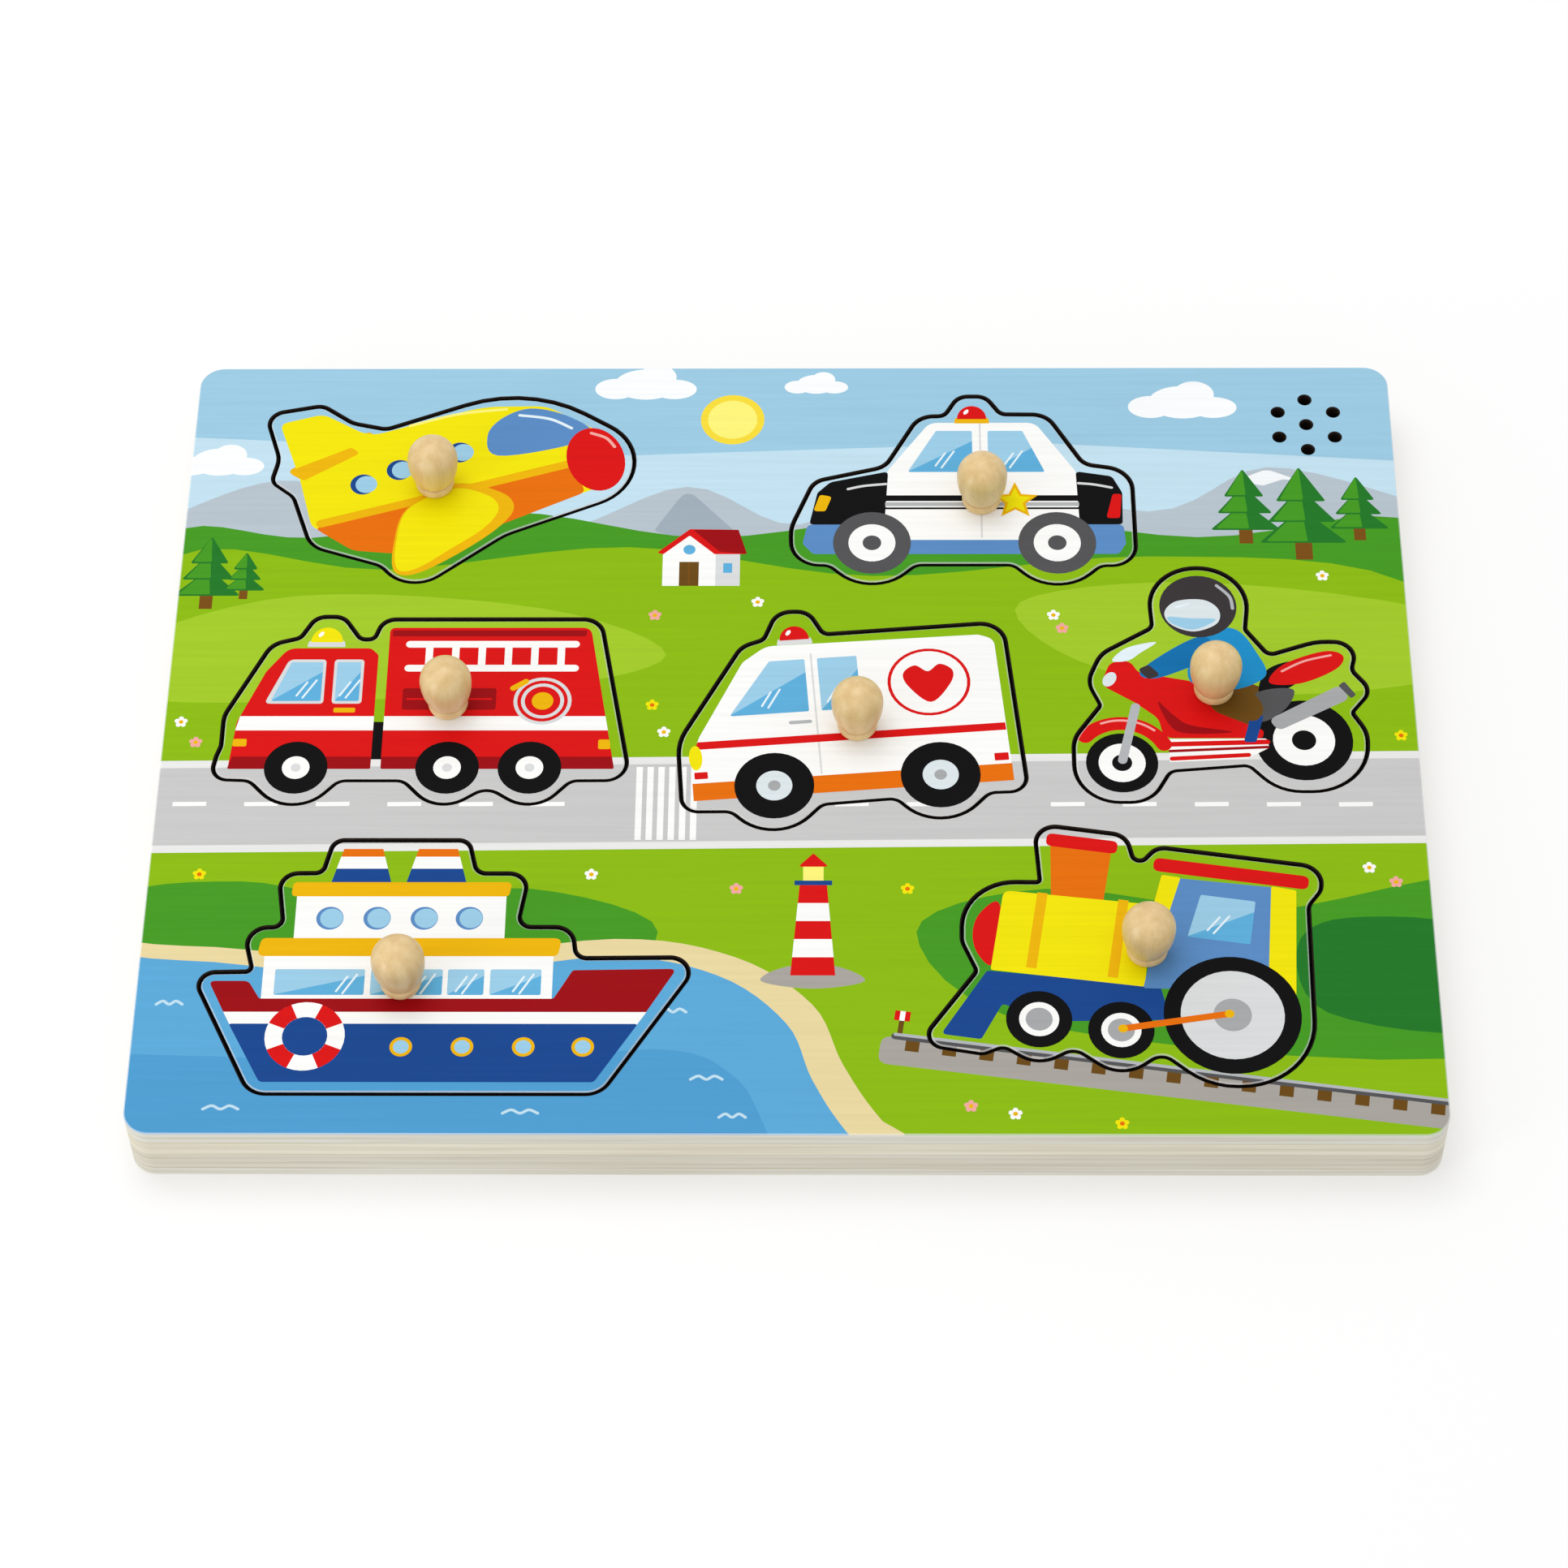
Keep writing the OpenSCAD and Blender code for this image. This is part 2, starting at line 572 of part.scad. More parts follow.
// Flat twin leads, glued under the pocket floor from the circuit's pads to the sensors
module flat_lead(from, to, end_d)
    translate([0, 0, floor_z - lead_t]) linear_extrude(lead_t) {
        bar(from, to, lead_w);
        if (end_d > 0) translate(to) circle(d = end_d);
    }
module sensor_leads() color("dimgray")
    for (v = WIRED) flat_lead(pad_at(sensor_at(v)), sensor_at(v), lead_end_d);

// Foam ring, basket, cone and magnet of the speaker under the sound holes
module speaker_gasket() color("dimgray")
    translate(concat(speaker_at, basket_top))
        difference() {
            cylinder(d = speaker_d, h = gasket_t);
            translate([0, 0, -over]) cylinder(d = speaker_d - 2 * (rim_w + ledge_w), h = gasket_t + 2 * over);
        }
module speaker_basket() color("silver") {
    r = speaker_d / 2;
    back_r = basket_back_d / 2;
    translate(concat(speaker_at, basket_z)) rotate_extrude() polygon([
        [0, 0], [back_r, 0], [r - rim_w, basket_h - flange_thick], [r, basket_h - flange_thick],
        [r, basket_h], [r - rim_w, basket_h], [r - rim_w, basket_h - ledge_drop],
        [r - rim_w - ledge_w, basket_h - ledge_drop], [back_r - plate_thick, plate_thick], [0, plate_thick]
    ]);
}
module speaker_cone() color("black") {
    edge_r = speaker_d / 2 - rim_w - touch_gap;
    edge_z = basket_h - ledge_drop;
    neck_z = plate_thick + coil_h;
    translate(concat(speaker_at, basket_z)) rotate_extrude() polygon([
        [0, neck_z], [coil_r - coil_t, neck_z], [coil_r - coil_t, plate_thick], [coil_r, plate_thick],
        [coil_r, neck_z], [edge_r - 2 * ledge_w, edge_z], [edge_r, edge_z], [edge_r, edge_z + cone_t],
        [edge_r - 2 * ledge_w, edge_z + cone_t], [coil_r, neck_z + cone_t], [0, neck_z + cone_t]
    ]);
}
module speaker_magnet() color("gray")
    translate(concat(speaker_at, basket_z - magnet_h)) cylinder(d = magnet_d, h = magnet_h);
module speaker_lead() color("dimgray") {
    reach = basket_back_d / 2 + flange_thick;
    flat_lead(pad_at(speaker_at), speaker_at - reach * unit(speaker_at - circuit_at), 0);
}

// Circuit board under the pocket floor, with its parts on the underside
chip_at = circuit_at + [-6, 2];
parts_at = circuit_at + [3.5, -3];
can_at = circuit_at + [14, 4.5];
module circuit_board() color("darkgreen")
    difference() {
        block(circuit_at[0], circuit_at[1], circuit_l, circuit_w, circuit_z, circuit_top);
        for (at = circuit_screw_places)
            translate(concat(at, circuit_z - over))
                cylinder(d = circuit_screw_d + 2 * seat_gap, h = circuit_t + 2 * over);
    }
module sound_chip() color("black") {
    ball_r = (pow(chip_d / 2, 2) + pow(chip_h, 2)) / (2 * chip_h);
    intersection() {
        translate(concat(chip_at, circuit_z + ball_r - chip_h)) sphere(r = ball_r);
        block(chip_at[0], chip_at[1], 2 * chip_d, 2 * chip_d, circuit_z - 2 * chip_h, circuit_z);
    }
}
chip_part_l = 2;
chip_part_w = 1.2;
chip_part_h = 0.6;
chip_part_pitch = [3.5, 3];
can_d = 5;
can_h = 2.6;
module circuit_parts() color("dimgray") {
    for (i = [0 : 3], j = [0 : 1])
        block(parts_at[0] + i * chip_part_pitch[0], parts_at[1] + j * chip_part_pitch[1],
              chip_part_l, chip_part_w, circuit_z - chip_part_h, circuit_z);
    translate(concat(can_at, circuit_z - can_h)) cylinder(d = can_d, h = can_h);
}
module circuit_spacers() color("white")
    for (at = circuit_screw_places)
        translate(concat(at, circuit_top))
            difference() {
                cylinder(d = spacer_d, h = lead_t);
                translate([0, 0, -over]) cylinder(d = circuit_screw_d + 2 * seat_gap, h = lead_t + 2 * over);
            }
module circuit_screws() color("silver")
    for (at = circuit_screw_places)
        translate(concat(at, circuit_z - circuit_screw_head_h))
            difference() {
                union() {
                    cylinder(d = circuit_screw_head_d, h = circuit_screw_head_h);
                    cylinder(d = circuit_screw_d,
                             h = circuit_screw_head_h + circuit_t + lead_t + circuit_screw_grip);
                }
                for (angle = [0, 90]) rotate(angle)
                    block(0, 0, recess_share * circuit_screw_head_d, circuit_screw_d / 3,
                          -over, circuit_screw_head_h / 2);
            }

// Battery box: an open tub with end flanges, a partition and the boss of the door screw
module battery_box() color("whitesmoke")
    difference() {
        union() {
            difference() {
                union() {
                    block(bay_x, box_y, box_w, box_l, rim_z, picture_z);
                    block(bay_x, box_y, box_w, box_l + 2 * flange_l, rim_z, rim_z + flange_t);
                }
                block(bay_x, box_y, bay_w, bay_l, -over, roof_z);
            }
            block(bay_x, chamber_back + partition_t / 2, bay_w + e, partition_t, door_top + touch_gap, roof_z + e);
            translate(concat(door_screw_at, door_top + touch_gap))
                cylinder(d = door_screw_d + 2 * (boss_gap + boss_wall), h = roof_z - door_top);
        }
        translate(concat(door_screw_at, door_top))
            cylinder(d = door_screw_d + 2 * boss_gap, h = door_screw_l);
        translate([bay_x - box_w, hinge_y, hinge_z]) rotate([0, 90, 0])
            cylinder(d = hinge_pin_d + 2 * pin_gap, h = 2 * box_w);
        for (at = flange_screw_places)
            translate(concat(at, flange_screw_z))
                screw_hole(flange_screw_d, flange_screw_head_d, flange_screw_head_h, flange_screw_l, screw_gap);
    }
module battery_box_screws() color("silver")
    for (at = flange_screw_places)
        translate(concat(at, flange_screw_z))
            screw(flange_screw_d, flange_screw_head_d, flange_screw_head_h, flange_screw_l);

// Two cells that lie opposite ways round, each pressed against its plate by a spring
module cell(x, flat_end, way)
    translate([x, flat_end, cell_z]) rotate([-90 * way, 0, 0]) {
        cylinder(d = cell_d, h = cell_l - cell_nub_h);
        cylinder(d = cell_nub_d, h = cell_l);
    }
left_flat_end = chamber_front + contact_t + spring_l;
right_flat_end = chamber_back - contact_t - spring_l;
module left_cell() color("goldenrod") cell(cell_x[0], left_flat_end, 1);
module right_cell() color("goldenrod") cell(cell_x[1], right_flat_end, -1);
contact_w = 7;
module contact_plates() color("silver") {
    low = cell_z - contact_w / 2;
    high = cell_z + contact_w / 2;
    block(bay_x, chamber_front + contact_t / 2, cell_pitch + contact_w, contact_t, low, high);
    for (x = cell_x) block(x, chamber_back - contact_t / 2, contact_w, contact_t, low, high);
}
spring_d = 6;
spring_wire_d = 0.7;
module contact_spring(x, from)
    translate([x, from, cell_z]) rotate([-90, 0, 0])
        difference() {
            cylinder(d = spring_d, h = spring_l);
            translate([0, 0, -over]) cylinder(d = spring_d - 2 * spring_wire_d, h = spring_l + 2 * over);
        }
module contact_springs() color("silver") {
    contact_spring(cell_x[0], chamber_front + contact_t);
    contact_spring(cell_x[1], right_flat_end);
}
module battery_lead() color("dimgray")
    flat_lead([battery_lead_x, circuit_at[1] - circuit_w / 2 + pad_inset], [battery_lead_x, box_back], 0);

// Battery door, round along its hinge edge, with grip grooves at the end that its screw holds
grip_w = 0.8;
grip_n = 4;
grip_from_screw = 5;
module battery_door() color("whitesmoke")
    difference() {
        union() {
            block(bay_x, (hinge_y + door_back) / 2, door_w, door_back - hinge_y, door_z, door_top);
            translate([bay_x - door_w / 2, hinge_y, hinge_z]) rotate([0, 90, 0]) cylinder(d = door_t, h = door_w);
            translate([bay_x - hinge_pin_l / 2, hinge_y, hinge_z]) rotate([0, 90, 0])
                cylinder(d = hinge_pin_d, h = hinge_pin_l);
        }
        translate(concat(door_screw_at, door_screw_z))
            screw_hole(door_screw_d, door_screw_head_d, door_screw_head_h, door_screw_l, pin_gap);
        for (k = [0 : grip_n - 1])
            block(bay_x, door_screw_at[1] - grip_from_screw - 2 * grip_w * k, door_w / 2, grip_w,
                  door_z - over, door_z + grip_w / 2);
    }
module door_screw() color("silver")
    translate(concat(door_screw_at, door_screw_z))
        screw(door_screw_d, door_screw_head_d, door_screw_head_h, door_screw_l);

// Slide switch on the back panel, with its slider through the slot and a little inside the underside
module switch_body() color("black")
    difference() {
        block(switch_at[0], switch_at[1], switch_l, switch_w, back_t, switch_top);
        block(switch_at[0], switch_at[1], slot_l, slider_w + 2 * slider_gap, back_t - over, back_t + slot_h);
    }
slider_rib = 0.5;
module switch_slider() color("red")
    difference() {
        block(slider_at[0], slider_at[1], slider_l, slider_w, slider_z, back_t + slot_h - slider_gap);
        for (x = [-1, 0, 1])
            block(slider_at[0] + 2 * slider_rib * x, slider_at[1], slider_rib, slider_w + over,
                  slider_z - over, slider_z + slider_rib);
    }
module switch_lead() color("dimgray") flat_lead(pad_at(switch_at), switch_at, 0);

// Screws that hold the back panel on
module back_panel_screws() color("silver")
    for (at = back_screw_places)
        translate(concat(at, back_screw_z))
            screw(back_screw_d, back_screw_head_d, back_screw_head_h, back_screw_l);

picture_board();
pocket_floor();
core_board();
back_panel();
for (v = VEHICLES) {
    piece(v);
    knob(v);
    knob_screw(v);
}
light_sensors();
sensor_leads();
speaker_gasket();
speaker_basket();
speaker_cone();
speaker_magnet();
speaker_lead();
circuit_board();
sound_chip();
circuit_parts();
circuit_spacers();
circuit_screws();
battery_box();
battery_box_screws();
left_cell();
right_cell();
contact_plates();
contact_springs();
battery_lead();
battery_door();
door_screw();
switch_body();
switch_slider();
switch_lead();
back_panel_screws();
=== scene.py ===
# %% [markdown]
# # A wooden peg puzzle with sound
# Seven plywood vehicles with turned knobs lie flush in a printed plywood board.
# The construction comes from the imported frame, which is loaded first and never moved.
# This lesson then dresses it: prints, plywood edges, knobs, screws and the parts behind the battery door.

# %% Load the frame and measure it
import math

import bmesh
import bpy
from mathutils import Matrix, Vector
from mathutils.geometry import delaunay_2d_cdt


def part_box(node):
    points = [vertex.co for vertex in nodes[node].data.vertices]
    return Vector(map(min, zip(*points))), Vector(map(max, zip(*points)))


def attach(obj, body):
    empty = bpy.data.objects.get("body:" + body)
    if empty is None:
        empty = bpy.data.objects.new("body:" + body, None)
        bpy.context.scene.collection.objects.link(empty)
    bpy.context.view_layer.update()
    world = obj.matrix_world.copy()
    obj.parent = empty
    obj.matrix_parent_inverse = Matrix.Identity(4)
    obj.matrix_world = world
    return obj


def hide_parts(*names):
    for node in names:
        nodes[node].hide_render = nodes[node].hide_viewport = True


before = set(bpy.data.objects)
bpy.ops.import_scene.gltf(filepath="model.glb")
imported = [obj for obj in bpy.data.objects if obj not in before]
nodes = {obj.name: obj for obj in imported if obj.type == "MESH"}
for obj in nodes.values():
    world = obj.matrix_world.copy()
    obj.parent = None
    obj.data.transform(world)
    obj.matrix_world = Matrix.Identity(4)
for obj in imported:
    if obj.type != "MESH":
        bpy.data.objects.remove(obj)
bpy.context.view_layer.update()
MM = 0.001
vehicles = sorted(name for name in nodes if f"{name}_knob" in nodes)
print("vehicles:", ", ".join(vehicles))


def box_mm(node):
    """Lowest and highest corner of a CAD node, in millimetres."""
    low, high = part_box(node)
    return low / MM, high / MM


board_low, board_high = box_mm("picture_board")
TOP = board_high.z
PICTURE_FLOOR = board_low.z
print(f"board {board_high.x - board_low.x:.1f} x {board_high.y - board_low.y:.1f} mm, top at {TOP:.1f} mm")

# %% [markdown]
# ## Small tools for materials
# Colours are written as sRGB hex values, because that is how a colour picker shows them.
# Blender's nodes work in linear light, so one function turns hex into linear.
# One more adds a node with its settings and links, and serves every node tree here.
# Wood, scuffs and specks are all noises that differ in length and width, so they share one streaky noise.

# %% Colour and node helpers

# Kinds of node that most finishes use
RAMP, RANGE, MIX = "ShaderNodeValToRGB", "ShaderNodeMapRange", "ShaderNodeMix"
MATH, SPLIT, BUMP = "ShaderNodeMath", "ShaderNodeSeparateXYZ", "ShaderNodeBump"
# Sockets of a Mix node for its share and its two colours, and the settings by which it multiplies them
SHARE, UNDER, OVER = 0, 6, 7
MULTIPLIED = {"data_type": "RGBA", "blend_type": "MULTIPLY"}


def linear(hex_colour):
    """An sRGB hex value as linear red, green, blue and alpha."""
    parts = [int(hex_colour[i : i + 2], 16) / 255 for i in (1, 3, 5)]
    return (*[c / 12.92 if c <= 0.04045 else ((c + 0.055) / 1.055) ** 2.4 for c in parts], 1.0)


def feed(node, inputs):
    """Give a node its inputs: values, sockets, or nodes whose first output in use is linked."""
    for name, value in inputs.items():
        if isinstance(value, bpy.types.Node):
            value = next(socket for socket in value.outputs if socket.enabled)
        if isinstance(value, bpy.types.NodeSocket):
            node.id_data.links.new(value, node.inputs[name])
        else:
            node.inputs[name].default_value = value


def add(tree, kind, inputs=None, stops=(), **settings):
    """Add a node with its settings and inputs, and a colour ramp with its stops of place and hex colour."""
    node = tree.nodes.new(kind)
    for name, value in settings.items():
        setattr(node, name, value)
    feed(node, inputs or {})
    while stops and len(node.color_ramp.elements) < len(stops):
        node.color_ramp.elements.new(1.0)
    for i, (place, colour) in enumerate(stops):
        node.color_ramp.elements[i].position = place
        node.color_ramp.elements[i].color = linear(colour)
    return node


def new_material(name):
    """An empty material, its node tree and its main shader."""
    material = bpy.data.materials.new(name)
    material.use_nodes = True
    tree = material.node_tree
    return material, tree, tree.nodes["Principled BSDF"]


def per_mm(size):
    """Pattern scale on Object coordinates, which are metres, for features of about this many millimetres."""
    return 1 / (size * MM)


def grain(tree, along, across, axes="X", detail=4.0, rough=0.5):
    """A noise in streaks, so many millimetres long on the given axes and so wide on the others."""
    place = add(tree, "ShaderNodeTexCoord").outputs["Object"]
    scale = [per_mm(along if axis in axes else across) for axis in "XYZ"]
    stretched = add(tree, "ShaderNodeMapping", {"Vector": place, "Scale": scale})
    noise = {"Vector": stretched, "Scale": 1.0, "Detail": detail, "Roughness": rough}
    return add(tree, "ShaderNodeTexNoise", noise)


print("node helpers ready")

# %% [markdown]
# ## Lacquered print
# The picture is ink on a birch face, under a clear lacquer.
# To the eye that is an even colour with a soft gloss, a fine orange peel, and a hint of grain from below.
# A picture file could hold the ink. Here every drawn shape carries it in a colour attribute, so that
# the edges stay sharp at any size and one material serves the board and all pieces.

# %% The print


def lacquered_print():
    material, tree, shader = new_material("lacquered print on birch")
    ink = add(tree, "ShaderNodeAttribute", attribute_name="ink")
    fibre = grain(tree, along=40, across=1.1)
    tone = add(tree, RAMP, {"Fac": fibre}, [(0.3, "#F8F8F8"), (0.7, "#FFFFFF")])
    printed = add(tree, MIX, {SHARE: 1.0, UNDER: ink, OVER: tone}, **MULTIPLIED)
    peel = grain(tree, along=1.6, across=1.6, detail=2.0)
    gloss = add(tree, RANGE, {"Value": peel, "To Min": 0.4, "To Max": 0.52})
    relief = add(tree, BUMP, {"Height": peel, "Distance": 0.012 * MM})
    feed(shader, {"Base Color": printed, "Roughness": gloss, "Normal": relief})
    feed(shader, {"IOR": 1.48, "Specular IOR Level": 0.05})
    return material


PRINT = lacquered_print()
print("material:", PRINT.name)

# %% [markdown]
# ## Birch plywood
# Four sheets are glued together, and each is made of thin plies with crossed grain.
# On an edge the eye sees pale bands, long grain and end grain by turns, and a thin brown line at each joint.
# On a face it sees long, faint streaks. Each ply could be a mesh of its own, but a ramp over the height
# paints the same edge, and the heights of the sheets come from the frame.

# %% Plywood edge and face

# Each sheet from the underside up: its number of plies, and the tones of long grain and end grain on its edge
SHEETS = {
    "back_panel": (3, "#E5E3D9", "#DDDACF"),
    "core_board": (5, "#E0DDD0", "#DAD6C8"),
    "pocket_floor": (3, "#ECE8D8", "#E4E0CF"),
    "picture_board": (3, "#E6E6DE", "#E0DED4"),
}
GLUE_LINE = "#CCC4B0"
GLUE_MM = 0.25
PLY_WAVER = 0.25
FACE_FROM = 0.7


def ply_stops():
    """Ramp stops from the underside to the top: each ply's tone, and a glue line at each joint."""
    stops = []
    for sheet, (plies, long_grain, end_grain) in SHEETS.items():
        low, high = (corner.z for corner in box_mm(sheet))
        ply = (high - low) / plies
        for i in range(plies):
            stops.append(((low + i * ply) / TOP, long_grain if i % 2 == 0 else end_grain))
        stops.append(((high - GLUE_MM) / TOP, GLUE_LINE if high < TOP else long_grain))
    return stops


def birch_plywood():
    material, tree, shader = new_material("birch plywood")
    place = add(tree, "ShaderNodeTexCoord").outputs["Object"]
    height = add(tree, SPLIT, {"Vector": place}).outputs["Z"]
    waver = grain(tree, along=70, across=3, axes="XY")
    shift = add(tree, RANGE, {"Value": waver, "To Min": -PLY_WAVER * MM, "To Max": PLY_WAVER * MM})
    wavy = add(tree, MATH, {0: height, 1: shift}, operation="ADD")
    share = add(tree, MATH, {0: wavy, 1: per_mm(TOP)}, operation="MULTIPLY")
    plies = add(tree, RAMP, {"Fac": share}, ply_stops())
    plies.color_ramp.interpolation = "CONSTANT"
    fibre = grain(tree, along=60, across=1.2, axes="XY", detail=5.0)
    streak = add(tree, RAMP, {"Fac": fibre}, [(0.3, "#E4DFD3"), (0.48, "#F6F3EC"), (0.7, "#FFFFFF")])
    edge = add(tree, MIX, {SHARE: 0.8, UNDER: plies, OVER: streak}, **MULTIPLIED)
    figure = grain(tree, along=170, across=7, detail=9.0, rough=0.68)
    face = add(tree, RAMP, {"Fac": figure}, [(0.3, "#D5C29B"), (0.5, "#E4D6B6"), (0.7, "#EEE4CB")])
    normal = add(tree, "ShaderNodeNewGeometry").outputs["True Normal"]
    upright = add(tree, SPLIT, {"Vector": normal}).outputs["Z"]
    flat = add(tree, MATH, {0: upright}, operation="ABSOLUTE")
    on_face = add(tree, MATH, {0: flat, 1: FACE_FROM}, operation="GREATER_THAN")
    wood = add(tree, MIX, {SHARE: on_face, UNDER: edge, OVER: face}, data_type="RGBA")
    relief = add(tree, BUMP, {"Height": fibre, "Distance": 0.05 * MM})
    feed(shader, {"Base Color": wood, "Normal": relief, "Roughness": 0.62, "Specular IOR Level": 0.3})
    return material


PLYWOOD = birch_plywood()
print("material:", PLYWOOD.name, "with", len(ply_stops()), "plies and joints")

# %% [markdown]
# ## Charred cut
# A laser cuts the pieces out of the board. It leaves the wall of the cut brown to black and quite matt.
# Seen from above, that wall is the thin dark line round each piece.
# Plain black would look like paint, so an upright noise mixes two burnt browns.

# %% The wall of the cut


def charred_wood():
    material, tree, shader = new_material("charred cut in birch")
    burn = grain(tree, along=0.5, across=1.4, axes="Z")
    tone = add(tree, RAMP, {"Fac": burn}, [(0.3, "#0E0A08"), (0.7, "#2A1B12")])
    feed(shader, {"Base Color": tone, "Roughness": 0.85, "Specular IOR Level": 0.2})
    return material


CHAR = charred_wood()
print("material:", CHAR.name)

# %% [markdown]
# ## A drawing kit
# A printed picture is flat shapes laid over each other, the way a poster is cut from coloured paper.
# Curve objects could draw it, but plain lists of points can be clipped, turned and cut to size in code.
# An outline has few points: ovals come from a formula, corners are rounded by arcs, and soft forms are curves
# through a handful of points. All sizes are millimetres in the board's frame.

# %% Outlines

# Steps round a tiny oval, more for each millimetre of radius, and the least for a part of one
OVAL_STEPS, STEPS_PER_MM, LEAST_STEPS = 20, 1.6, 6
# Steps round a corner, and between two points of a curve
CORNER_STEPS, CURVE_STEPS = 6, 6


def pairs(loop):
    """Each item of a loop with the one after it."""
    return zip(loop, loop[1:] + loop[:1])


def turned(angle, points, x=0.0, y=0.0):
    """Points turned about the origin by an angle in degrees, and then moved."""
    c, s = math.cos(math.radians(angle)), math.sin(math.radians(angle))
    return [(x + c * u - s * v, y + s * u + c * v) for u, v in points]


def oval(x, y, rx, ry=None, tilt=0, start=0, end=360):
    """Points of an oval, or of the part of it between two angles."""
    ry = rx if ry is None else ry
    steps = max(LEAST_STEPS, math.ceil((OVAL_STEPS + STEPS_PER_MM * max(rx, ry)) * (end - start) / 360))
    count = steps + 1 if end - start < 360 else steps
    angles = [math.radians(start + (end - start) * k / steps) for k in range(count)]
    return turned(tilt, [(rx * math.cos(t), ry * math.sin(t)) for t in angles], x, y)


def block(x0, y0, x1, y1):
    """An upright rectangle by two opposite corners."""
    return [(x0, y0), (x1, y0), (x1, y1), (x0, y1)]


def soft(radius, *corners):
    """A polygon with round corners; a third value of a corner is its own radius."""
    points = []
    n = len(corners)
    for i, corner in enumerate(corners):
        here = Vector(corner[:2])
        a = (Vector(corners[i - 1][:2]) - here).normalized()
        b = (Vector(corners[(i + 1) % n][:2]) - here).normalized()
        reach = (corner[2] if len(corner) > 2 else radius) / math.tan(a.angle(b) / 2)
        start, end = here + a * reach, here + b * reach
        for k in range(CORNER_STEPS + 1):
            t = k / CORNER_STEPS
            points.append(tuple(start * (1 - t) ** 2 + here * 2 * t * (1 - t) + end * t * t))
    return points


print("outlines: oval, block, soft")

# %% Curves, strokes and inked groups


def through(points, closed):
    """A smooth curve that passes through each of a few points, as a list of many."""
    n = len(points)
    made = []
    for i in range(n if closed else n - 1):
        ring = [points[(i + k) % n] if closed else points[min(max(i + k, 0), n - 1)] for k in (-1, 0, 1, 2)]
        a, b, c, d = (Vector(p) for p in ring)
        for k in range(CURVE_STEPS):
            t = k / CURVE_STEPS
            bend = (2 * a - 5 * b + 4 * c - d) * t**2 + (3 * b - a - 3 * c + d) * t**3
            made.append(0.5 * (2 * b + (c - a) * t + bend))
    if not closed:
        made.append(Vector(points[-1]))
    return made


def smooth(*points):
    """A closed soft form through a few points."""
    return [tuple(p) for p in through(points, True)]


def stroke(width, *points):
    """A band of even width with round ends along a smooth line."""
    line = through(points, False) if len(points) > 2 else [Vector(p) for p in points]
    left, right = [], []
    for i, p in enumerate(line):
        way = (line[min(i + 1, len(line) - 1)] - line[max(i - 1, 0)]).normalized()
        side = Vector((-way.y, way.x)) * width / 2
        left.append(tuple(p + side))
        right.append(tuple(p - side))
    out = math.degrees(math.atan2(*(line[-1] - line[-2]).yx))
    back = math.degrees(math.atan2(*(line[0] - line[1]).yx))
    tip = oval(*line[-1], width / 2, start=out - 90, end=out + 90)
    tail = oval(*line[0], width / 2, start=back - 90, end=back + 90)
    return tip + left[-2:0:-1] + tail + right[1:-1]


def tilted(angle, pivot, shapes):
    """Inked shapes turned about a point."""
    x, y = pivot
    return [(ink, turned(angle, [(u - x, v - y) for u, v in outline], x, y)) for ink, outline in shapes]


def tower(x, foot, foot_half, top_half, *bands):
    """Inked bands that narrow evenly from the foot to the top, each by its upper edge."""
    slope = (top_half - foot_half) / (bands[-1][0] - foot)
    edges = [foot, *[edge for edge, _ in bands]]
    halves = [foot_half + slope * (edge - foot) for edge in edges]
    return [(ink, [(x - a, low), (x + a, low), (x + b, high), (x - b, high)])
            for (_, ink), low, high, a, b in zip(bands, edges, edges[1:], halves, halves[1:])]


def discs(centres, *bands):
    """Inked discs on each centre, from the largest to the smallest, each with its radius."""
    return [(ink, oval(x, y, radius)) for x, y in centres for radius, ink in bands]


print("curves and groups: smooth, stroke, tilted, tower, discs")

# %% [markdown]
# ## Inks
# The palette is bright and flat, as on most printed toys: one hex value per ink.
# Ink names stand in the drawings in place of colours, so a tone is changed in one place.

# %% Palette

INKS = dict(
    sky="#9CCAE2", pale_sky="#C2E0EF", cloud="#FAFCFD", sun="#F7DC3C", far_hill="#B7C3CC",
    far_shade="#9FAEB9", snow="#F4F7F9", grass="#8CBB10", spring="#A2CA2A", meadow="#469A22",
    leaf="#237828", trunk="#7A4E14", road="#C9C9C9", kerb="#E9E9E8", water="#5CA9D8",
    deep_water="#4F9DD0", sand="#E9D7A1", stone="#A9A59E", white="#FBFBF9", black="#0A090B",
    wheel="#545456", hub="#A7A9AB", steel="#B4B7BA", pale_grey="#DADCDD", red="#DB1212",
    dark_red="#9C0810", pink="#F3A9A2", yellow="#F2E504", pale_yellow="#FBF37A", gold="#EDB604",
    orange="#E77006", brown="#6B4A16", blue="#5B8CC4", deep_blue="#18478F", jacket="#1F8FCB",
    sleeve="#1272B0", glass="#5FAFDC", pale_glass="#9CCDE8", shine="#E4F3FA", helmet="#3A3537",
    visor="#DCE6EA",
)
INK_COLOURS = {name: linear(value) for name, value in INKS.items()}
print(len(INKS), "inks")

# %% [markdown]
# ## The landscape behind the vehicles
# The board's background is a plain landscape of its own: far hills, a barn, firs, a straight road with a
# crossing, a bay with a lighthouse, and a railway line.
# It could be one long list of points. Instead, each motif is a small function of its place and size, and the
# list of shapes then reads like a description, from the far hills to the near flowers.

# %% Motifs that repeat


def cloud(x, y, size):
    """Four puffs, with their places and radii as shares of the size."""
    puffs = [(0, 0, 1, 0.62), (-0.95, -0.18, 0.66, 0.42), (0.9, -0.2, 0.7, 0.4), (0.35, 0.3, 0.6, 0.5)]
    return [("cloud", oval(x + u * size, y + v * size, rx * size, ry * size)) for u, v, rx, ry in puffs]


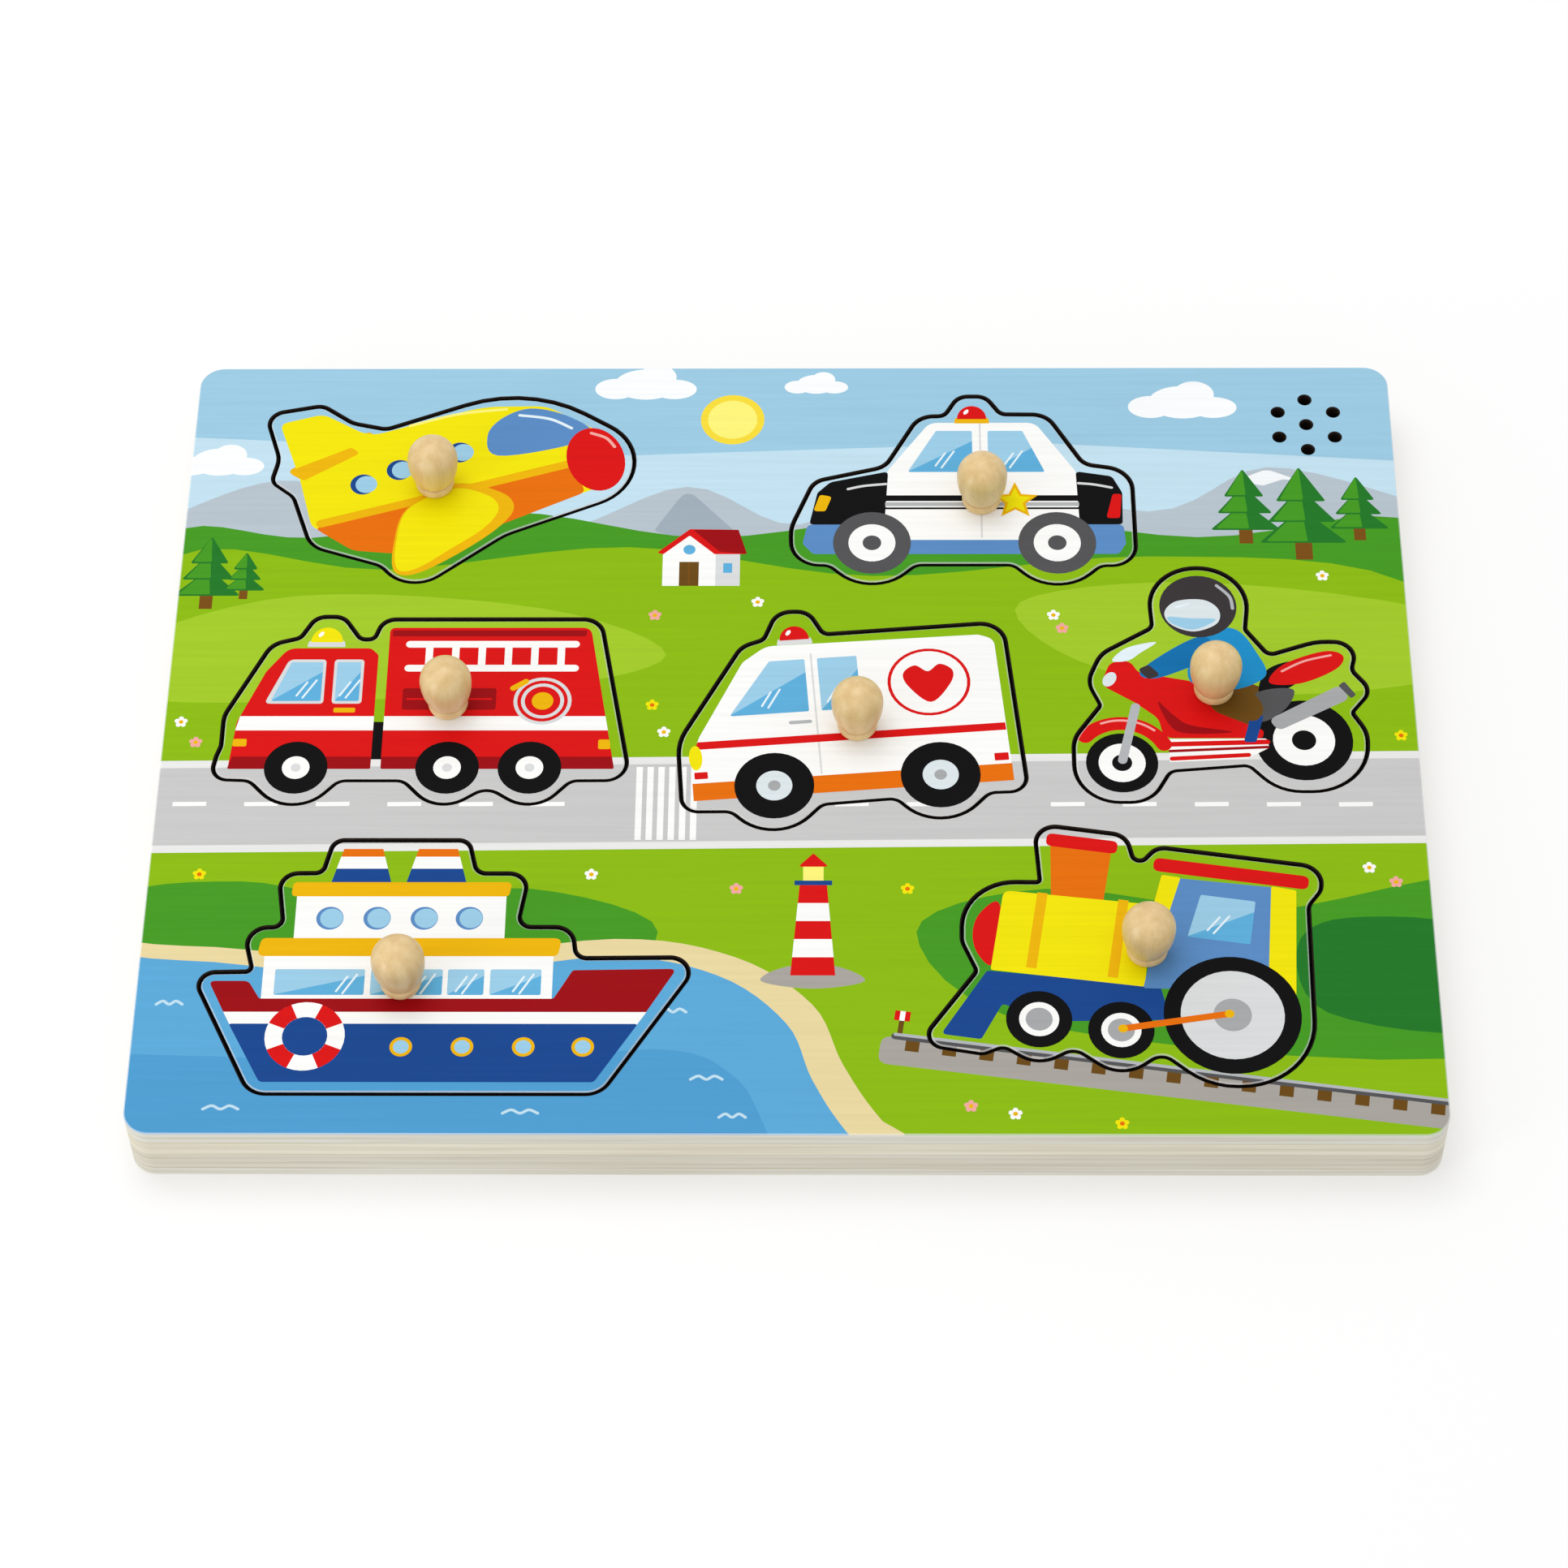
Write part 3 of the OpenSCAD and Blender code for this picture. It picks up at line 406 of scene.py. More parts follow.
def fir(x, y, size):
    """A trunk and three tiers, each with a lit left side."""
    shapes = [("trunk", block(x - 0.08 * size, y, x + 0.08 * size, y + 0.3 * size))]
    for k in range(3):
        half = size * (0.42 - 0.09 * k)
        foot = y + size * (0.2 + 0.25 * k)
        top = (x, foot + size * 0.42)
        shapes.append(("leaf", soft(0.5, (x - half, foot), (x + half, foot), top)))
        shapes.append(("meadow", soft(0.4, (x - half * 0.84, foot + 0.5), (x + half * 0.1, foot + 0.5), top)))
    return shapes


def flower(x, y, ink):
    """Five petals round an eye."""
    turns = [math.radians(18 + 72 * k) for k in range(5)]
    petals = [(ink, oval(x + math.cos(t), y + math.sin(t), 0.62)) for t in turns]
    return [*petals, ("orange" if ink == "yellow" else "gold", oval(x, y, 0.55))]


def wave(x, y, w):
    """Two crests beside each other."""
    crests = [(x - w, y), (x - w / 2, y + 0.9), (x, y), (x + w / 2, y + 0.9), (x + w, y)]
    return [("pale_sky", stroke(0.7, *crests))]


print("motifs that repeat: cloud, fir, flower, wave")

# %% Landmarks


def barn(x, y):
    """A white gable, a long side in the shade, and a red roof over both."""
    return [
        ("pale_grey", block(x - 9.5, y, x + 9.5, y + 11)),
        ("white", soft(0.3, (x - 9.5, y), (x + 3.5, y), (x + 3.5, y + 11), (x - 3, y + 16.5),
                       (x - 9.5, y + 11))),
        ("red", soft(0.4, (x - 11, y + 10.2), (x - 9.4, y + 9.8), (x - 3, y + 15.6), (x + 3.2, y + 9.8),
                     (x + 11.2, y + 9.8), (x + 9, y + 17.4), (x - 3, y + 17.6))),
        ("dark_red", soft(0.3, (x + 4.4, y + 10.6), (x + 11.2, y + 9.8), (x + 9, y + 17.4),
                          (x - 2.2, y + 17.4))),
        ("brown", block(x - 5.4, y, x - 0.6, y + 7.4)),
        ("trunk", block(x - 3.2, y, x - 2.8, y + 7.4)),
        ("glass", oval(x - 3, y + 11.2, 1.5)),
        ("glass", block(x + 5.4, y + 4, x + 7.6, y + 7)),
    ]


def lighthouse(x, y):
    """A banded tower on a rock, with a gallery, a lamp room and a roof."""
    bands = [(y + 5 * (k + 1), ink) for k, ink in enumerate(("red", "white", "red", "white", "red"))]
    top = bands[-1][0]
    return [
        ("stone", smooth((x - 12, y - 1.5), (x - 6, y + 2.4), (x + 5, y + 2.6), (x + 12, y - 1.5),
                         (x, y - 3.6))),
        *tower(x, y, 5.2, 3.2, *bands),
        ("deep_blue", block(x - 4.4, top, x + 4.4, top + 1.3)),
        ("pale_yellow", block(x - 2.4, top + 1.3, x + 2.4, top + 5.2)),
        ("red", soft(0.4, (x - 3.6, top + 5.2), (x + 3.6, top + 5.2), (x, top + 9))),
    ]


def railway(start, end, sleepers):
    """A line on its gravel bed, with a buffer stop at its start, sleepers, and a rail over its own shade."""
    a, b = Vector(start), Vector(end)
    way = (b - a).normalized()
    down = Vector((way.y, -way.x))

    def bar(ink, middle, *corners):
        """A rectangle by two corners, measured from a point along the line and down from it."""
        return (ink, [tuple(middle + way * u + down * v) for u, v in block(*corners)])

    steps = [a + (b - a) * (k + 0.5) / sleepers + down * 3 for k in range(sleepers)]
    rails = [(ink, stroke(width, tuple(a + down * drop), tuple(b + down * drop)))
             for ink, width, drop in (("wheel", 1.7, 0.9), ("steel", 0.8, 0.4))]
    return [
        ("stone", soft(2.5, a - way * 3 + down * 1.2, b, b + down * 8, a - way * 3 + down * 8.6)),
        bar("brown", a, 0.4, 0.6, 1.6, -4.8),
        bar("red", a, -0.8, -3.4, 2.8, -6),
        bar("white", a, 0.4, -3.4, 1.6, -6),
        *[bar("brown", step, -1.6, -1.9, 1.6, 1.5) for step in steps],
        *rails,
    ]


print("landmarks: barn, lighthouse, railway")

# %% Sky, hills and meadows

# The picture runs a little past the edges of the board
BLEED = 2
EDGE_X, EDGE_Y = board_high.x + BLEED, board_high.y + BLEED
HORIZON = 40
HILLS = [(-EDGE_X, 66), (-128, 76), (-100, 70), (-60, 60), (-26, 74), (2, 62), (36, 80), (88, 66), (118, 80),
         (EDGE_X, 70)]

FAR = [
    ("sky", block(-EDGE_X, HORIZON, EDGE_X, EDGE_Y)),
    ("pale_sky", [(-EDGE_X, HORIZON), (EDGE_X, HORIZON), (EDGE_X, 82), (60, 88), (-40, 84), (-EDGE_X, 90)]),
    *discs([(-15, 95.5)], (8, "sun"), (6.2, "pale_yellow")),
    *cloud(-37, 107, 8),
    *cloud(98, 101, 8.5),
    *cloud(-143, 82, 7),
    *cloud(6, 107, 5),
    ("far_hill", [*[tuple(p) for p in through(HILLS, False)], (EDGE_X, HORIZON), (-EDGE_X, HORIZON)]),
    ("far_shade", soft(1, (-26, 73.4, 3), (-14, 60), (-22, 56), (-34, 60))),
    ("snow", soft(0.6, (36, 79.6, 4), (28, 76), (34, 74.5), (39, 76.5), (45, 75.6))),
    ("snow", soft(0.6, (118, 79.4, 4), (110, 75.6), (117, 74.2), (122, 76.2), (127, 75.4))),
    ("meadow", smooth((-170, 40), (-150, 61), (-118, 58), (-70, 66), (-20, 58), (40, 66), (100, 58),
                      (150, 64), (175, 40), (0, 20))),
    ("grass", block(-EDGE_X, -EDGE_Y, EDGE_X, HORIZON)),
    ("grass", smooth((-175, 0), (-152, 52), (-100, 48), (-40, 55), (20, 46), (88, 52), (150, 44), (175, 0))),
    ("spring", smooth((-160, 26), (-120, 40), (-60, 36), (-30, 22), (-60, 12), (-120, 8), (-160, 10))),
    ("spring", smooth((56, 38), (100, 44), (160, 34), (160, 16), (110, 10), (70, 20))),
    *barn(-22, 43),
    *fir(-143, 36, 20),
    *fir(-134, 39, 13),
    *fir(112, 56, 21),
    *fir(126, 51, 26),
    *fir(140, 57, 18),
]
print("far country:", len(FAR), "shapes")

# %% Road, coast, railway and flowers

DASHES = (-146, -129, -112, -95, -78, -61, -6, 11, 28, 62, 79, 96, 113, 130)
STRIPES = [-36.2 + 2.6 * k for k in range(6)]
WAVES = ((-142, -78, 3), (-26, -80, 3), (-18, -98, 3.6), (-128, -106, 4), (-60, -107, 4), (-12, -108, 3))
FLOWERS = (
    (-146, 2, "white"), (-33, 7, "yellow"), (64, 34, "white"), (66, 30, "pink"), (146, -2, "yellow"),
    (-33, 34, "pink"), (-30, -1, "white"), (-138, -42, "yellow"), (-46, -42, "white"), (-12, -46, "pink"),
    (28, -46, "yellow"), (136, -40, "white"), (142, -44, "pink"), (52, -107, "white"), (76, -109.5, "yellow"),
    (130, 46, "white"), (-8, 38, "white"), (-142, -4, "pink"), (42, -105, "pink"),
)

NEAR = [
    ("kerb", [(-EDGE_X, -9.5), (EDGE_X, -6.5), (EDGE_X, -33), (-EDGE_X, -36)]),
    ("road", [(-EDGE_X, -11.6), (EDGE_X, -8.6), (EDGE_X, -30.9), (-EDGE_X, -33.9)]),
    *[("white", block(x, -32.2, x + 1.5, -11.2)) for x in STRIPES],
    *[("white", [(x, -22.6), (x + 8, -22.5), (x + 8, -21.3), (x, -21.4)]) for x in DASHES],
    ("meadow", smooth((-160, -50), (-128, -44), (-96, -50), (-60, -46), (-30, -58), (-60, -80), (-160, -80))),
    ("meadow", smooth((30, -58), (60, -46), (110, -52), (165, -44), (165, -90), (60, -84))),
    ("leaf", smooth((118, -62), (130, -54), (160, -58), (160, -84), (124, -80))),
    ("sand", smooth((-175, -66), (-140, -62), (-90, -66), (-40, -60), (-12, -65), (6, -78), (13, -94),
                    (22, -109), (40, -130), (-175, -130))),
    ("water", smooth((-175, -70), (-140, -66), (-90, -71), (-42, -65), (-16, -70), (0, -83), (6, -98),
                     (14, -112), (30, -132), (-175, -132))),
    ("deep_water", smooth((-175, -96), (-130, -92), (-80, -96), (-30, -90), (-12, -97), (-4, -112),
                          (4, -134), (-175, -134))),
    *lighthouse(6, -70),
    *railway((25, -85.5), (EDGE_X, -103.2), sleepers=15),
    *[shape for spot in WAVES for shape in wave(*spot)],
    *[shape for spot in FLOWERS for shape in flower(*spot)],
]
LANDSCAPE = FAR + NEAR
print("landscape:", len(LANDSCAPE), "shapes")

# %% [markdown]
# ## The seven vehicles
# Each vehicle is drawn in the few flat shapes that make it known: body, windows, wheels, lamps.
# The shapes lie on each other in the order of the list, so a wheel comes after the body behind it.
# Windows and lamps could be drawn one by one. They repeat, so they are functions: a pane is drawn once, and
# its deeper half is cut from it.

# %% Windows and lamps

DRAWINGS = {}
# How far up a pane's right side its deeper colour reaches
DEEP_SHARE = 0.75


def keep(vehicle, shapes):
    """Keep the drawing of a vehicle and print its size."""
    DRAWINGS[vehicle] = shapes
    print(f"{vehicle}: {len(shapes)} shapes")


def below(pane, a, b):
    """The part of a convex pane that lies below the line from a to b, which runs to the right."""
    a, b = Vector(a), Vector(b)
    kept = []
    for p, q in pairs([Vector(p) for p in pane]):
        dp, dq = ((b - a).cross(v - a) for v in (p, q))
        if dp <= 0:
            kept.append(tuple(p))
        if dp * dq < 0:
            kept.append(tuple(p + (q - p) * dp / (dp - dq)))
    return kept


def window(streak, *corners):
    """A pane whose lower part is deeper in colour, with two streaks of light that rise from a point."""
    x, y = streak
    xs, ys = zip(*corners)
    pane = soft(0.5, *corners)
    deep = below(pane, (min(xs), min(ys) + 0.1), (max(xs), min(ys) + DEEP_SHARE * (max(ys) - min(ys))))
    return [
        ("pale_glass", pane),
        ("glass", deep),
        ("shine", stroke(0.5, (x, y), (x + 2.4, y + 4))),
        ("shine", stroke(0.5, (x + 1.5, y - 0.6), (x + 4.6, y + 4.6))),
    ]


def porthole(x, y, rim_ink, shift):
    """A round window whose glass sits a little to the right of its rim."""
    return [(rim_ink, oval(x, y, 3.2)), ("pale_glass", oval(x + shift, y, 2.7))]


def beacon(x, y, r, ink, base_ink="pale_grey"):
    """A round warning light on its base."""
    return [
        (base_ink, soft(0.4, (x - r - 0.8, y - 1.4), (x + r + 0.8, y - 1.4), (x + r + 0.4, y + 0.4),
                        (x - r - 0.4, y + 0.4))),
        (ink, oval(x, y, r, r * 1.15, end=180)),
        ("white", oval(x - r * 0.38, y + r * 0.62, 0.5, 0.9, tilt=-35)),
    ]


print("window, porthole and beacon ready")

# %% Airplane

keep("airplane", [
    ("gold", soft(1, (-126.4, 79, 1.6), (-121.4, 75.8), (-103, 88), (-106.2, 92.2, 1.5), (-110, 88))),
    ("yellow", soft(4, (-118.6, 61), (-122.6, 76.4, 3), (-128.8, 94.2, 2), (-118, 97.4, 5), (-106, 90.2, 8),
                    (-78, 99.8, 30), (-62, 100, 10), (-42.2, 88, 8), (-43, 76), (-52, 72), (-72, 62.4, 8),
                    (-98, 55))),
    ("orange", soft(2, (-118, 61, 1), (-56, 81.4), (-51, 72.4), (-72, 62), (-97, 53, 9), (-108, 54, 6))),
    ("gold", stroke(2.4, (-116.4, 62.4), (-95, 69), (-56, 81.2))),
    ("gold", soft(1, (-125.6, 79, 1.6), (-121.6, 76), (-108, 84.8), (-110.4, 86.6))),
    ("pale_yellow", stroke(0.8, (-96, 93.6), (-84, 97.4), (-72, 99))),
    ("blue", smooth((-76.4, 90.4), (-73, 96), (-66, 99.2), (-57, 97), (-50, 91.4), (-57, 87), (-73.6, 84))),
    ("shine", stroke(0.8, (-68.6, 97), (-61, 95.8), (-55.4, 92.8))),
    ("red", oval(-49, 82.8, 7.2, 10.2, tilt=14)),
    ("pink", stroke(0.8, (-50.4, 91.2), (-46.6, 89.6), (-44.4, 86.8))),
    *porthole(-106.7, 74.8, "deep_blue", 0.8),
    *porthole(-97.9, 79.4, "deep_blue", 0.8),
    *porthole(-83.1, 85, "deep_blue", 0.8),
    ("gold", smooth((-95.4, 67), (-84, 75), (-72.4, 72.4), (-68.8, 67.4), (-72.6, 61), (-82, 53),
                    (-92, 46.8), (-97.4, 47.6), (-98, 56))),
    ("yellow", smooth((-95, 67), (-84.4, 73.4), (-75.6, 71.4), (-72.6, 67), (-76, 61), (-84, 54.4),
                      (-92, 48.4), (-96.8, 48.4), (-97.4, 57))),
])

# %% Police car


def star(x, y, outer, inner, points=5):
    """A star with its first point upwards."""
    turns = [(outer if k % 2 == 0 else inner, math.pi * (0.5 + k / points)) for k in range(2 * points)]
    return [(x + r * math.cos(t), y + r * math.sin(t)) for r, t in turns]


keep("police_car", [
    ("blue", soft(1.6, (2.8, 56), (5.4, 52.8), (80.6, 52.8), (82.4, 56), (82, 62), (4, 62))),
    ("white", soft(3, (22.8, 57.2, 0.5), (71.4, 57.2, 0.5), (70.6, 78.8), (60.8, 94.4, 4), (34.4, 94.4, 4),
                   (23.8, 79))),
    ("black", soft(1, (4.4, 62), (23, 62), (24, 78.8), (9.6, 75.4, 3), (6.4, 72))),
    ("black", soft(1, (71.2, 62), (81.8, 62), (82, 72, 3), (79.6, 77.2, 2), (70.6, 78.8))),
    ("pale_grey", stroke(0.7, (14, 73.2), (18, 74.2), (23.4, 74.8))),
    ("pale_grey", stroke(0.7, (71.2, 75), (75, 74.6), (79.4, 73.6))),
    ("gold", soft(0.8, (5.4, 66.2), (8.4, 66.2), (10, 70.8), (7, 71.4))),
    ("red", soft(0.8, (77.8, 64), (81.2, 64), (81.8, 71.6), (79.6, 71.6))),
    ("black", block(23.2, 69.4, 71, 71.2)),
    ("steel", block(23.2, 67.8, 71.2, 69)),
    ("black", block(23.2, 66.8, 71.3, 67.4)),
    ("pale_grey", stroke(0.45, (47, 58), (47, 94))),
    *window((35.8, 80.6), (28.8, 78.6), (45, 78.6), (45, 91.8), (36, 91.8)),
    *window((52.8, 80.6), (48.9, 78.6), (63, 78.6), (57.6, 91.8), (48.9, 91.8)),
    ("gold", star(55.4, 69.4, 6, 2.7)),
    ("yellow", star(55.4, 69.4, 4.2, 1.9)),
    *beacon(45, 95.6, 3.7, "red", "gold"),
    *discs([(19.9, 56.3), (65.5, 56.3)], (9.6, "wheel"), (5.8, "white"), (2.3, "wheel")),
])

# %% Fire truck

LADDER_LOW, LADDER_HIGH = 18, 25.2
RUNGS = [-87.4 + 6.4 * k for k in range(6)]

keep("fire_truck", [
    ("black", block(-100.4, -9, -96.8, 2)),
    ("red", soft(1.5, (-133.8, -11.8), (-132.6, 2), (-126.6, 17, 4), (-121.6, 24, 4), (-101.6, 24, 2),
                 (-99.7, 22), (-99.7, -11.8, 0.6))),
    ("red", soft(1.5, (-97.3, -11.8, 0.6), (-97.3, 30.2), (-48.4, 30.2, 2.5), (-41.6, -11.8, 0.8))),
    ("dark_red", soft(0.5, (-134, -11.8), (-99.7, -11.8), (-99.7, -8.2), (-132.9, -8.2))),
    ("dark_red", soft(0.5, (-97.3, -11.8), (-41.6, -11.8), (-42.2, -8.2), (-97.3, -8.2))),
    ("dark_red", soft(0.5, (-96.6, 27.6), (-49.6, 27.6), (-49.2, 29.4), (-96.6, 29.4))),
    ("white", [(-132.8, -0.5), (-99.7, -0.5), (-99.7, 3.7), (-131.9, 3.7)]),
    ("white", [(-97.3, -0.5), (-43.4, -0.5), (-44.1, 3.7), (-97.3, 3.7)]),
    ("pale_grey", soft(1, (-126.4, 7.4), (-112.2, 7.4), (-112.2, 20.6), (-121.2, 20.6, 2))),
    *window((-118.8, 9.8), (-124.9, 8.2), (-112.9, 8.2), (-112.9, 19.8), (-120.6, 19.8)),
    ("pale_grey", soft(1, *block(-110.2, 7.4, -103, 20.6))),
    *window((-108.4, 9.8), *block(-109.5, 8.2, -103.7, 19.8)),
    ("gold", soft(0.4, *block(-109.6, 4.8, -104.4, 6.2))),
    ("gold", soft(0.5, (-133.2, -5.2), (-129.8, -5.2), (-129.8, -3), (-133, -3))),
    ("gold", soft(0.5, (-45.6, -6), (-42.6, -6), (-42.9, -3.2), (-45.6, -3.2))),
    ("dark_red", soft(0.8, *block(-93.2, 5.6, -70.6, 12))),
    ("red", block(-92.2, 8.5, -71.6, 9.1)),
    *beacon(-112.5, 25.8, 3.9, "yellow"),
    *[("white", stroke(2, (-92.2, y), (-52, y))) for y in (LADDER_HIGH, LADDER_LOW)],
    *[("white", block(x - 0.9, LADDER_LOW, x + 0.9, LADDER_HIGH)) for x in RUNGS],
    *discs([(-59.4, 8.2)], (7, "pale_grey"), (6.1, "red"), (5.2, "pale_grey"), (4.3, "red"), (2.6, "gold")),
    ("gold", stroke(1.5, (-66.6, 12), (-63.6, 14))),
    *discs([(x, -11.4) for x in (-117.5, -81.4, -61.75)], (7.6, "black"), (3.3, "white"), (1.2, "pale_grey")),
])

# %% Ambulance


def heart(x, y):
    """A plain heart."""
    return smooth((x, y + 3.2), (x + 3, y + 5.2), (x + 6, y + 3), (x + 5, y - 1), (x, y - 6), (x - 5, y - 1),
                  (x - 6, y + 3), (x - 3, y + 5.2))


EMBLEM = (35.8, 12.4)
# The van is drawn level, and then climbs by this angle
CLIMB = 4.6
level_van = [
    ("white", soft(2, (-22.8, -18, 0.6), (53.4, -18, 0.6), (52.6, 24, 3), (49, 25.6, 3), (-2.6, 26.2, 6),
                   (-8.6, 21.8, 4), (-20.4, 0.4), (-22.8, -6))),
    ("orange", block(-22.8, -18, 53.4, -13)),
    ("pale_grey", stroke(0.45, (8, -12.4), (8, 23))),
    ("red", [(-21.8, -3.2), (53, -3.2), (52.9, -1), (-20.9, -1)]),
    *window((-4.8, 8.4), (-12.8, 6), (6.4, 6), (6.4, 21.6), (-2.2, 21.6)),
    *window((11, 8.4), *block(9.4, 6, 19, 21.6)),
    ("steel", stroke(1, (1.8, 3), (6.4, 3))),
    ("red", soft(0.3, *block(-22.2, -11.8, -19, -9.8))),
    ("red", soft(0.3, *block(49.4, -12, 52.8, -9.8))),
    ("yellow", oval(-21.6, -5.6, 1.6, 3.6)),
    *discs([EMBLEM], (10, "red"), (9.2, "white")),
    ("red", heart(*EMBLEM)),
    *beacon(4.4, 27.6, 3.6, "red"),
]
keep("ambulance", [
    *tilted(CLIMB, (16.35, -15), level_van),
    *discs([(-3.4, -16.6), (36.1, -13.4)], (9.5, "black"), (4.3, "visor"), (1.5, "hub")),
])

# %% Motorbike with a rider in a closed helmet

FRONT_AXLE, REAR_AXLE = (79.25, -10), (122.8, -3.4)

keep("motorbike", [
    ("brown", smooth((97, 12), (108, 14), (115.6, 10), (113, 2.6), (104, 0.4), (98, 5))),
    ("black", smooth((113, 10), (114.6, 17), (121, 20), (126, 18), (120, 12))),
    *discs([REAR_AXLE], (11.7, "black"), (7.4, "white"), (2.9, "black")),
    ("wheel", smooth((108, 6), (113, 11), (121, 11.6), (119, 6), (113, 2))),
    ("red", smooth((115.4, 13.6), (119, 19), (129, 23), (133.6, 21.6), (131.6, 17.6), (123, 13.4))),
    ("pink", stroke(0.6, (118.6, 17), (124, 20), (130.6, 21.8))),
    ("hub", soft(1.8, (114.6, 2.6), (117, -0.6), (134.4, 8.8), (132.4, 13))),
    ("wheel", soft(0.5, (131.9, 12.7), (134.8, 8.9), (136, 10), (133.4, 14))),
    ("white", soft(0.8, (90.6, -9.8, 0.3), (109, -8.8), (114.4, -5.6), (114, -2.9), (90.6, -3, 0.3))),
    ("red", stroke(1.4, (90.8, -4.6), (114, -3.9))),
    ("dark_red", stroke(0.8, (90.8, -6.6), (114, -5.4))),
    ("red", stroke(1.2, (91.2, -8.8), (109.4, -7.7))),
    ("red", soft(3, (74.8, 13), (77.2, 19.6), (82, 20.4), (84, 16.6), (97, 14), (102, 5, 5), (113.4, -0.6, 1),
                 (113, -2.8, 1), (89.4, -2.8), (88.4, 3, 5), (83, 7.6))),
    ("dark_red", smooth((88.4, 8), (91, 1), (95, -1.4), (106, -1), (96, 1), (92, 4))),
    ("visor", oval(77, 14.6, 1.5, 2.3, tilt=-28)),
    ("shine", smooth((77.8, 20.2), (81.4, 24), (88.6, 25.8), (84.8, 22.6), (81.6, 20.2))),
    ("red", stroke(3.8, *oval(*FRONT_AXLE, 11.5, start=28, end=138))),
    ("pink", stroke(0.6, *oval(*FRONT_AXLE, 12.4, start=50, end=112))),
    *discs([FRONT_AXLE], (8.6, "black"), (5.6, "white"), (2.4, "black")),
    ("steel", stroke(2.2, (83, 6.4), (79.4, -9.2))),
    ("deep_blue", soft(0.8, (108.4, -4), (111.4, -4), (113.6, 4), (110.6, 4.4))),
    ("brown", smooth((98.6, 12), (108.6, 13), (113.4, 7), (112, 2.6), (107.6, 3), (102.4, 6))),
    ("jacket", smooth((96.4, 14), (97.6, 24), (102.4, 29.6), (108.4, 29.4), (112.6, 23), (114.6, 15.6),
                      (106, 11.4))),
    ("sleeve", smooth((100.6, 27.4), (94, 24.8), (84.6, 17.2), (87.6, 14.8), (96, 18), (103, 21.8))),
    ("helmet", soft(1, (83.8, 17.6), (86.4, 14.6), (89.4, 15.8), (86.6, 19))),
    ("helmet", oval(99.2, 36.6, 9.4)),
    ("steel", stroke(0.8, (104, 43), (107, 39.6), (107.6, 36))),
    ("visor", smooth((91, 34.8), (94, 38.2), (100.6, 38.6), (104.2, 35.6), (103.6, 31.4), (98, 29),
                     (92.6, 31))),
    ("pale_glass", smooth((91.8, 33.4), (97, 33), (103.4, 32.6), (98, 29.6), (93, 31.2))),
    ("shine", stroke(0.6, (94, 36.4), (96.8, 37.4))),
])

# %% Ship

RING, RING_OUTER, RING_INNER = (-110.2, -86.6), 9.2, 5.2
HULL_FROM = -80
CABINS = ((-118.2, -97.4), (-96, -79.4), (-78.2, -69.8), (-68.4, -56.6))
FUNNEL = ((-40.4, "deep_blue"), (-37, "white"), (-34.8, "orange"))


def life_ring():
    """A white ring with four red sleeves and the hull in its bore."""
    sleeves = []
    for turn in (45, 135, 225, 315):
        rim, bore = (oval(*RING, r, start=turn - 22, end=turn + 22) for r in (RING_OUTER, RING_INNER))
        sleeves.append(("red", [*rim, *bore[::-1]]))
    hull = [p for p in oval(*RING, RING_INNER) if p[1] < HULL_FROM]
    return [("white", oval(*RING, RING_OUTER)), *sleeves, ("deep_blue", hull)]


def cabin(x0, x1):
    """A wide window of the lower deck between two places."""
    return window((x1 - 6.4, -74.4), *block(x0, -75.4, x1, -68.4))


keep("ship", [
    ("dark_red", soft(1, (-133.4, -71.6), (-124.2, -71.6, 2), (-121.4, -76.4), (-53.6, -76.4), (-49.4, -68.6),
                      (-25.4, -68.2), (-32.4, -80.4), (-129.2, -80.4))),
    ("white", [(-129.4, -80), (-32.1, -80), (-34.2, -83.4), (-127.7, -83.4)]),
    ("deep_blue", soft(1.5, (-127.9, -83.2, 0.4), (-34, -83.2, 0.4), (-43.6, -98.8), (-119.8, -98.8))),
    ("white", block(-121, -76.4, -54, -64)),
    ("white", block(-114.6, -60, -65.6, -47.8)),
    ("gold", soft(1.6, (-122.8, -64.8), (-53, -64.8), (-52.2, -59.8), (-122, -59.8))),
    ("gold", soft(1.2, (-116, -48.2), (-65, -48.2), (-64.4, -44.2), (-115.6, -44.2))),
    *[shape for ends in CABINS for shape in cabin(*ends)],
    *[shape for x in (-106.5, -95.5, -84.5, -74) for shape in porthole(x, -54.3, "blue", 0.4)],
    *[band for x in (-99.8, -82.2) for band in tower(x, -44.2, 7, 4.6, *FUNNEL)],
    *life_ring(),
    *discs([(x, -89.4) for x in (-88, -74, -60, -46.4)], (2.6, "gold"), (1.8, "pale_glass")),
])

# %% Train

# The engine runs downhill, so what is drawn upright is turned by this angle
DOWNHILL = -8.5
ROD_ENDS = ((77, -84.3), (101.5, -80.3))

